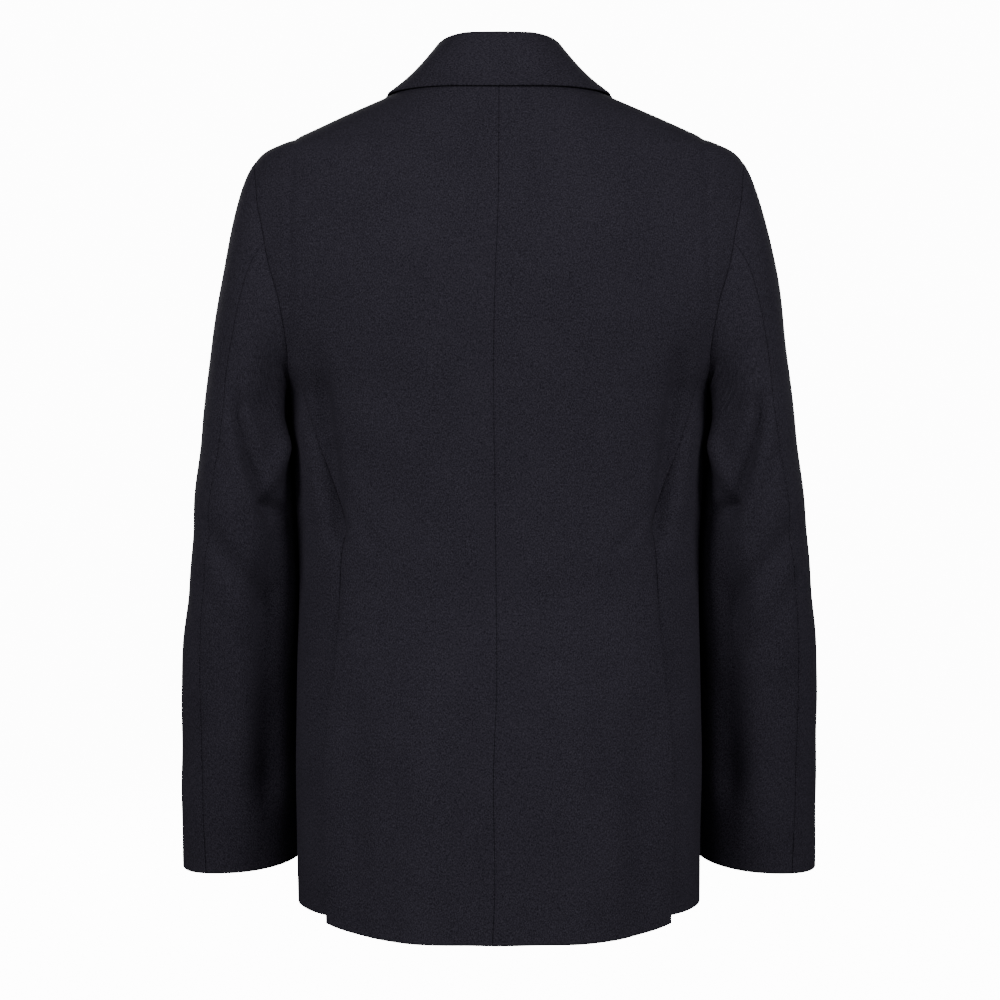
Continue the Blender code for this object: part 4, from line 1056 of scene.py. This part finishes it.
# angle0, z0, angle1, z1, half width, depth
SLEEVE_FOLDS = [
    (88, -0.292, 126, -0.366, 0.0115, 0.0098),
    (150, -0.320, 128, -0.352, 0.0120, -0.0030),
    (60, -0.398, 118, -0.452, 0.0130, 0.0040),
    (300, -0.395, 250, -0.380, 0.0120, 0.0050),
    (310, -0.425, 240, -0.432, 0.0120, 0.0045),
]
SLEEVE_CREASES = [
    (98, -0.283, 116, -0.292, 0.0070, 0.0020),
    (70, -0.330, 104, -0.392, 0.0080, 0.0014),
    (52, -0.440, 100, -0.492, 0.0100, 0.0012),
    (20, -0.460, 60, -0.520, 0.0120, 0.0010),
    (340, -0.330, 300, -0.372, 0.0080, 0.0016),
    (320, -0.462, 262, -0.470, 0.0080, 0.0014),
    (224, -0.392, 246, -0.402, 0.0080, 0.0016),
    (149, -0.240, 149, -0.318, 0.0135, -0.0064),
    (138, -0.402, 130, -0.440, 0.0170, 0.0060),
    (127, -0.462, 126, -0.600, 0.0205, 0.0100),
    (143, -0.322, 131, -0.352, 0.0075, -0.0022),
    (150, -0.374, 127, -0.371, 0.0065, 0.0052),
]
DEGREE = 0.0011  # one degree round a sleeve, as a length on it
# How far the sleeve reaches to the body at its inner side, by height, where the two hang side by side
REACH = [
    (-0.700, 0.0046),
    (-0.600, 0.0056),
    (-0.540, 0.0056),
    (-0.500, 0.0053),
    (-0.460, 0.0043),
    (-0.430, 0.0044),
    (-0.385, 0.0056),
    (-0.325, 0.0056),
    (-0.300, 0.0075),
    (-0.270, 0.0068),
    (-0.240, 0.0),
]
reach_at = curve_through(REACH, ("height", "reach"), "reach")
REACH_TURN, REACH_WIDTH = 203, 26
# The rounded top of the sleeve, held out by its seam: how far, at what height, and how far round
HEAD_FULLNESS, HEAD_HEIGHT, HEAD_TURN = 0.0022, (-0.165, 0.060), 45
TOP_COLUMNS, UNDER_COLUMNS, CROWN_ROWS, HANGING_ROWS = 74, 62, 46, 132


def seam_turn(down, at_armhole, angle_at):
    hanging = angle_at(SLEEVE_TOP + (SLEEVE_BOTTOM - SLEEVE_TOP) * np.clip(down - 1, 0, 1))
    crown = at_armhole + (angle_at(SLEEVE_TOP) - at_armhole) * np.clip(down, 0, 1)
    return np.where(down < 1, crown, hanging)


def sleeve_relief(turn, down, side):
    """How far the sleeve's cloth lies inside its form. At the armhole it follows the body's cloth."""
    points = sleeve_point(turn, down)
    real = points * np.array([side, 1, 1])
    degrees, z = np.degrees(turn) % 360, points[..., 2]
    pressed = fold_depth(degrees, z, SLEEVE_FOLDS + SLEEVE_CREASES, stretch=DEGREE)
    inner_side = bell(degrees, REACH_TURN, REACH_WIDTH)
    pressed -= reach_at(z) * inner_side
    outside = bell((degrees + 180) % 360 - 180, 0, HEAD_TURN)
    pressed -= HEAD_FULLNESS * outside * bell(z, *HEAD_HEIGHT)
    uneven = sum(depth * ripple(real, length, seed) for depth, length, seed in SLEEVE_RIPPLES)
    pressed = pressed + uneven * (1 - inner_side)
    at_seam = body_relief(*armhole(np.degrees(turn)), side)
    own = smooth_step(0, 0.3, down)
    return pressed * own + at_seam * (1 - own)


def sleeve_piece(side, under):
    share = np.linspace(0, 1, UNDER_COLUMNS if under else TOP_COLUMNS)
    down = np.concatenate([np.linspace(0, 1, CROWN_ROWS), 1 + np.linspace(0, 1, HANGING_ROWS)[1:]])
    hind = seam_turn(down, HINDARM_AT_ARMHOLE, hindarm_angle)
    fore = seam_turn(down, FOREARM_AT_ARMHOLE, forearm_angle)
    first, last = (hind, fore) if under else (fore - 360, hind)
    turn = np.radians(first[:, None] + (last - first)[:, None] * share)
    level = np.broadcast_to(down[:, None], turn.shape)
    normals = sleeve_normal(turn, level)
    own = smooth_step(0, 0.25, level)[..., None]
    at_armhole = body_normal(*armhole(np.degrees(turn)))
    normals = unit(at_armhole * (1 - own) + normals * own)
    flip = np.array([side, 1, 1])
    outer = sleeve_point(turn, level) - normals * sleeve_relief(turn, level, side)[..., None]
    inner = outer - normals * WALL
    free = np.zeros(turn.shape)
    free[-1] = 1
    kind = "under" if under else "top"
    return cloth(f"sleeve_{kind}_{SIDE_NAMES[side]}", outer * flip, inner * flip, free, hem=-1)


sleeves = [sleeve_piece(side, under) for side in SIDE_NAMES for under in (False, True)]
print("sleeve pieces:", [len(piece.data.polygons) for piece in sleeves])

# %% [markdown]
# ## Thread
# Thread is a thin round cord. One helper lays such a tube along any path, and buttonholes, the cross
# threads of a button and the edge stitching are all made with it, only thicker or thinner.

# %% A tube of thread
def tube(path, radius, sides=6, closed=False):
    """Points and faces of a thread along a path. The radius is one number, or one for each point."""
    path = np.asarray(path, float)
    count = len(path)
    along = np.roll(path, -1, 0) - np.roll(path, 1, 0) if closed else np.gradient(path, axis=0)
    along = unit(along)
    first = unit(np.cross(along, unit(np.array([0.23, 0.31, 0.92]))))
    second = np.cross(along, first)
    turn = np.linspace(0, 2 * np.pi, sides, endpoint=False)[:, None]
    ring = np.cos(turn) * first[:, None] + np.sin(turn) * second[:, None]
    points = path[:, None] + ring * np.broadcast_to(radius, count)[:, None, None]
    index = np.arange(count * sides).reshape(count, sides)
    if closed:
        index = np.concatenate([index, index[:1]])
    beside = np.roll(index, -1, axis=1)
    faces = np.stack([index[:-1], beside[:-1], beside[1:], index[1:]], axis=-1).reshape(-1, 4)
    if not closed:
        caps = [[k, k + 1, sides - 2 - k, sides - 1 - k] for k in range(sides // 2 - 1)]
        top = np.array(caps) + (count - 1) * sides
        faces = np.concatenate([faces, np.array(caps)[:, ::-1], top])
    return points.reshape(-1, 3), faces


def joined(parts):
    """One set of points and faces from many."""
    points, faces, start = [], [], 0
    for some_points, some_faces in parts:
        points.append(some_points)
        faces.append(some_faces + start)
        start += len(some_points)
    return np.concatenate(points), np.concatenate(faces)


def sewn_on(name, parts, material):
    made = new_mesh(name, *joined(parts), material)
    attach(made, "root")
    return made


thread, _, thread_shader = plain_finish("sewing thread", (0.014, 0.013, 0.018, 1), 0.6)
thread_shader.inputs["Specular IOR Level"].default_value = 0.25
print("a closed ring of thread has", len(tube(np.eye(3), 0.1, closed=True)[1]), "faces")

# %% [markdown]
# ## Edge stitching
# A pressed edge stays flat because a row of tiny stitches runs just inside it, along the collar, the
# lapels and down the fronts. Each stitch is a short thread, thick in the middle, that sinks into the
# cloth at both ends. We find its place on the sheet itself, at a fixed distance from the edge.

# %% Stitches along the last column of a piece
STITCH, PITCH, STITCH_RADIUS, FROM_EDGE = 0.0020, 0.0042, 0.00026, 0.0026
STITCH_SINK, STITCH_TAPER = 0.0002, np.array([0.5, 0.9, 1, 0.9, 0.5])
BELOW_BREAK = 0.004  # the stitching of a front ends this far below the lapel's fold


def inside_edge(sheet, distance):
    """Points at a distance from a sheet's last column, and the directions along it and out of it."""
    back = sheet[:, ::-1]
    run = np.cumsum(np.linalg.norm(np.diff(back, axis=1), axis=-1), axis=1)
    line = []
    for row, lengths in zip(back, run):
        reached = np.concatenate([[0], lengths])
        line.append([np.interp(distance, reached, row[:, k]) for k in range(3)])
    line = np.array(line)
    along = unit(np.gradient(line, axis=0))
    out = unit(np.cross(along, back[:, 0] - line))
    return line, along, out


def stitches(part, outward, stretch=(0.0, 1.0)):
    line, along, out = inside_edge(faces_of[part], FROM_EDGE)
    run = run_along(line)
    low, high = run[-1] * stretch[0] + PITCH, run[-1] * stretch[1] - PITCH
    made = []
    for place in np.arange(low, high, PITCH):
        here = [[np.interp(place, run, values[:, k]) for k in range(3)] for values in (line, along, out)]
        at, way, normal = np.array(here)
        normal = normal if normal @ np.array(outward) > 0 else -normal
        steps = np.linspace(-1, 1, 5)[:, None]
        path = at + way * steps * STITCH / 2 - normal * STITCH_SINK * (0.3 + steps**2)
        made.append(tube(path, STITCH_RADIUS * STITCH_TAPER))
    return sewn_on(part + "_stitches", made, thread)


def share_at_break(part):
    """How far up the free edge of a front the fold of the lapel starts, as a share of its length."""
    edge = faces_of[part][:, -1]
    run = run_along(edge)
    return run[np.searchsorted(edge[:, 2], BREAK_HEIGHT - BELOW_BREAK)] / run[-1]


edge_rows = [stitches("collar", (0, 1, 0.6))]
for side in SIDE_NAMES.values():
    edge_rows.append(stitches("lapel_" + side, (0, -1, 0)))
    edge_rows.append(stitches("front_" + side, (0, -1, 0), (0.02, share_at_break("front_" + side))))
print("rows of edge stitching:", [piece.name for piece in edge_rows])

# %% [markdown]
# ## Buttonholes
# A tailor's buttonhole has a round eye at its outer end, where the button's neck sits, and a straight
# slit behind it. Closely packed stitches run all round it over a stiff thread. Close up they read as a
# cord with a fine ripple, so we lay a tube along a keyhole outline and vary its thickness.

# %% Buttonholes on the left front
BUTTONS = (("button_top", -0.388), ("button_bottom", -0.490))
EYE_RADIUS, SLIT_LENGTH, SLIT_HALF, GIMP = 0.0017, 0.0190, 0.00075, 0.00055


def keyhole(count=220):
    """The outline of a buttonhole in its own plane: along the slit from the eye, and across it."""
    opening = math.asin(SLIT_HALF / EYE_RADIUS)
    turn = np.linspace(opening, 2 * np.pi - opening, 40)
    eye = np.stack([EYE_RADIUS * np.cos(turn), EYE_RADIUS * np.sin(turn)], axis=-1)
    end_turn = np.linspace(-np.pi / 2, np.pi / 2, 12)
    end = np.stack([SLIT_LENGTH + SLIT_HALF * np.cos(end_turn), SLIT_HALF * np.sin(end_turn)], axis=-1)
    outline = np.concatenate([eye, end, eye[:1]])
    run = run_along(outline)
    places = np.linspace(0, run[-1], count, endpoint=False)
    return np.stack([np.interp(places, run, outline[:, k]) for k in (0, 1)], axis=-1)


def buttonhole(name, height):
    outline = keyhole()
    x, z = outline[:, 0], height + outline[:, 1]
    path = on_form(front_angle(x, z), z, 0.0001, 1)
    ripples = GIMP * (1 + 0.16 * np.cos(np.arange(len(path)) * 2 * np.pi / 4))
    return sewn_on(name.replace("button", "buttonhole"), [tube(path, ripples, closed=True)], thread)


buttonholes = [buttonhole(*button) for button in BUTTONS]
print("buttonholes:", [piece.name for piece in buttonholes])

# %% [markdown]
# ## Buttons
# Two dark horn buttons of 20 mm. A horn button is turned on a lathe: a dished middle, a rounded rim and
# a flat back. So we turn a section round an axis. Four holes are drilled through it with a boolean, and
# the thread crosses over them in two bars. Horn has a soft shine, and a faint cloudy streak.

# %% Turned buttons with four holes
BUTTON_SECTION = [
    (0.0, 0.0021),
    (0.0040, 0.0021),
    (0.0056, 0.0022),
    (0.0064, 0.0026),
    (0.0071, 0.0033),
    (0.0079, 0.0037),
    (0.0087, 0.0037),
    (0.0095, 0.0034),
    (0.0099, 0.0028),
    (0.0100, 0.0021),
    (0.0098, 0.0014),
    (0.0090, 0.0006),
    (0.0078, 0.0001),
    (0.0, 0.0001),
]
HOLE_OUT = 0.0017  # how far out a hole is, both ways
HOLE_PLACES = [(x, y) for x in (-HOLE_OUT, HOLE_OUT) for y in (-HOLE_OUT, HOLE_OUT)]
HOLE_RADIUS, NECK_LIFT = 0.0008, 0.0009
DRILL = [(0, 0.006), (HOLE_RADIUS, 0.006), (HOLE_RADIUS, -0.002), (0, -0.002)]
# A bar of thread comes up from below the holes and passes over the button's middle
BAR_TOP, BAR_DROP, BAR_RADIUS, NECK_RADIUS = 0.0025, 0.0022, 0.00022, 0.0014
HORN_DARK, HORN_LIGHT = (0.0075, 0.007, 0.0075, 1), (0.032, 0.027, 0.025, 1)


def horn():
    made, tree, shader = plain_finish("horn", (0.012, 0.011, 0.012, 1), 0.32)
    place = node(tree, "ShaderNodeTexCoord").outputs["Object"]
    clouding = {"Vector": place, "Scale": 160, "Detail": 3, "Distortion": 1.5}
    clouds = node(tree, "ShaderNodeTexNoise", clouding)
    two_colours(tree, shader, clouds.outputs[0], (0.45, HORN_DARK), (0.75, HORN_LIGHT))
    return made


def turned(name, section, steps, material):
    """A closed body turned round the Z axis from points of radius and height, from axis to axis."""
    turn = np.linspace(0, 2 * np.pi, steps, endpoint=False)
    rings = [[(r * math.cos(t), r * math.sin(t), z) for t in turn] for r, z in section[1:-1]]
    points = [point for ring in rings for point in ring] + [(0, 0, section[0][1]), (0, 0, section[-1][1])]
    faces = []
    for k in range(steps):
        after = (k + 1) % steps
        for ring in range(len(rings) - 1):
            low, high = ring * steps, (ring + 1) * steps
            faces.append((low + k, high + k, high + after, low + after))
        faces.append((len(points) - 2, k, after))
        last = (len(rings) - 1) * steps
        faces.append((len(points) - 1, last + after, last + k))
    mesh = bpy.data.meshes.new(name)
    mesh.from_pydata(points, [], faces)
    mesh.materials.append(material)
    made = bpy.data.objects.new(name, mesh)
    bpy.context.scene.collection.objects.link(made)
    return made


def drilled_button(name, material):
    blank = turned(name, BUTTON_SECTION, 72, material)
    drills = []
    for x, y in HOLE_PLACES:
        drill = turned("drill", DRILL, 20, material)
        drill.location = (x, y, 0)
        drills.append(drill)
        cut = blank.modifiers.new("hole", "BOOLEAN")
        cut.operation, cut.solver, cut.object = "DIFFERENCE", "EXACT", drill
    bpy.context.view_layer.update()
    finished = bpy.data.meshes.new_from_object(blank.evaluated_get(bpy.context.evaluated_depsgraph_get()))
    blank.modifiers.clear()
    blank.data = finished
    finished.shade_smooth()
    finished.set_sharp_from_angle(angle=math.radians(40))
    for drill in drills:
        bpy.data.objects.remove(drill)
    return blank


def sewn_button(name, height, material):
    """A button on the left front and the thread that holds it."""
    angle = front_angle(0.0, height)
    place, normal = on_form(angle, height, NECK_LIFT, 1), body_normal(angle, height)
    tilt = (math.atan2(-normal[1], normal[2]), 0, 0)
    made = drilled_button(name + "_horn", material)
    bars = []
    reach = np.linspace(-1, 1, 9)
    for y in (-HOLE_OUT, HOLE_OUT):
        for shift in (-0.0003, 0.0, 0.0003):
            over = [(HOLE_OUT * r, y + shift, BAR_TOP - BAR_DROP * r**6) for r in reach]
            bars.append(tube(over, BAR_RADIUS))
    bars.append(tube([(0, 0, -NECK_LIFT - 0.0003), (0, 0, -0.0004), (0, 0, 0.0003)], NECK_RADIUS, sides=12))
    threads = sewn_on(name + "_thread", bars, thread)
    for piece in (made, threads):
        piece.location, piece.rotation_euler = tuple(place), tilt
    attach(made, "root")
    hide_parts(name)
    return made


polished_horn = horn()
buttons = [sewn_button(name, height, polished_horn) for name, height in BUTTONS]
print("faces of a drilled button:", len(buttons[0].data.polygons))

# %% [markdown]
# ## Stage, light and camera
# The photograph is a cut-out on pure white. The picture's upper rows are lighter, its sides do not
# shine, and the gap between sleeve and body is black. That means two large soft boxes, one on each
# side: each lights its own sleeve from outside, and the body stands between it and the other sleeve's
# inner side. Two weak ones beside the camera soften the folds, and two more light the jacket's front
# for the other views. A floor and a dome glow white behind it, but throw no light on it.

# %% Floor and background
FLOOR_HEIGHT = -0.95
DOME_RADIUS = 7.0
FLOOR_CORNERS = 96
WHITE = 13


def glowing_white():
    made, tree, shader = plain_finish("glowing white", (0.8, 0.8, 0.8, 1), 0.9)
    shader.inputs["Emission Color"].default_value = (1, 1, 1, 1)
    shader.inputs["Emission Strength"].default_value = WHITE
    return made


def floor_disc(radius, height, material):
    turns = np.linspace(0, 2 * np.pi, FLOOR_CORNERS, endpoint=False)
    rim = [(radius * math.cos(t), radius * math.sin(t), height) for t in turns]
    mesh = bpy.data.meshes.new("floor")
    mesh.from_pydata(rim, [], [list(range(FLOOR_CORNERS))])
    mesh.materials.append(material)
    made = bpy.data.objects.new("floor", mesh)
    bpy.context.scene.collection.objects.link(made)
    return made


white = glowing_white()
floor = floor_disc(DOME_RADIUS * 0.98, FLOOR_HEIGHT, white)
bpy.ops.mesh.primitive_uv_sphere_add(segments=64, ring_count=32, radius=DOME_RADIUS)
dome = bpy.context.object
dome.name = "dome"
dome.data.materials.append(white)
for backdrop in (floor, dome):
    for seen in ("diffuse", "glossy", "transmission", "shadow", "volume_scatter"):
        setattr(backdrop, "visible_" + seen, False)
print("floor at", FLOOR_HEIGHT)


# %% Light
def soft_box(name, place, target, size, power):
    lamp = bpy.data.lights.new(name, "AREA")
    lamp.shape, lamp.size, lamp.energy = "DISK", size, power
    made = bpy.data.objects.new(name, lamp)
    made.location = place
    aim = np.array(target) - np.array(place)
    level = math.hypot(aim[0], aim[1])
    made.rotation_euler = (math.atan2(level, -aim[2]), 0, math.atan2(aim[0], -aim[1]) + math.pi)
    made.visible_camera = False
    bpy.context.scene.collection.objects.link(made)
    return made


world = bpy.data.worlds.new("soft light")
bpy.context.scene.world = world
world.use_nodes = True
world.node_tree.nodes["Background"].inputs["Color"].default_value = (1, 1, 1, 1)
world.node_tree.nodes["Background"].inputs["Strength"].default_value = 0.05
CHEST = (0, 0, -0.25)
soft_box("left box", (2.0, 1.65, 0.50), CHEST, 1.2, 48.5)
soft_box("right box", (-2.0, 1.65, 0.50), CHEST, 1.2, 48.5)
soft_box("left of the camera", (0.8, 2.0, -0.05), CHEST, 0.8, 5.2)
soft_box("right of the camera", (-0.8, 2.0, -0.05), CHEST, 0.8, 5.2)
soft_box("front left box", (1.0, -2.5, 0.7), CHEST, 1.4, 46)
soft_box("front right box", (-1.0, -2.5, 0.7), CHEST, 1.4, 27)

# %% Camera
DISTANCE = 2.3
WIDTH_AT_OBJECT = 0.88  # metres across the picture, at the plane of the shoulders
EYE_HEIGHT = -0.3652
camera_data = bpy.data.cameras.new("camera")
camera_data.lens = camera_data.sensor_width * DISTANCE / WIDTH_AT_OBJECT
camera = bpy.data.objects.new("camera", camera_data)
camera.location = (-WIDTH_AT_OBJECT / 1000, DISTANCE, EYE_HEIGHT)
camera.rotation_euler = (math.pi / 2, 0, math.pi)
bpy.context.scene.collection.objects.link(camera)
bpy.context.scene.camera = camera
print("lens", round(camera_data.lens, 1), "mm")

# %% [markdown]
# ## What was cut
# The flat size of every piece, measured over the cloth itself, is printed.

for part, (width, length, area) in cut_sizes.items():
    print(part, "cut", round(width, 3), "x", round(length, 3), "m,", round(area, 4), "m2")
bpy.context.view_layer.update()
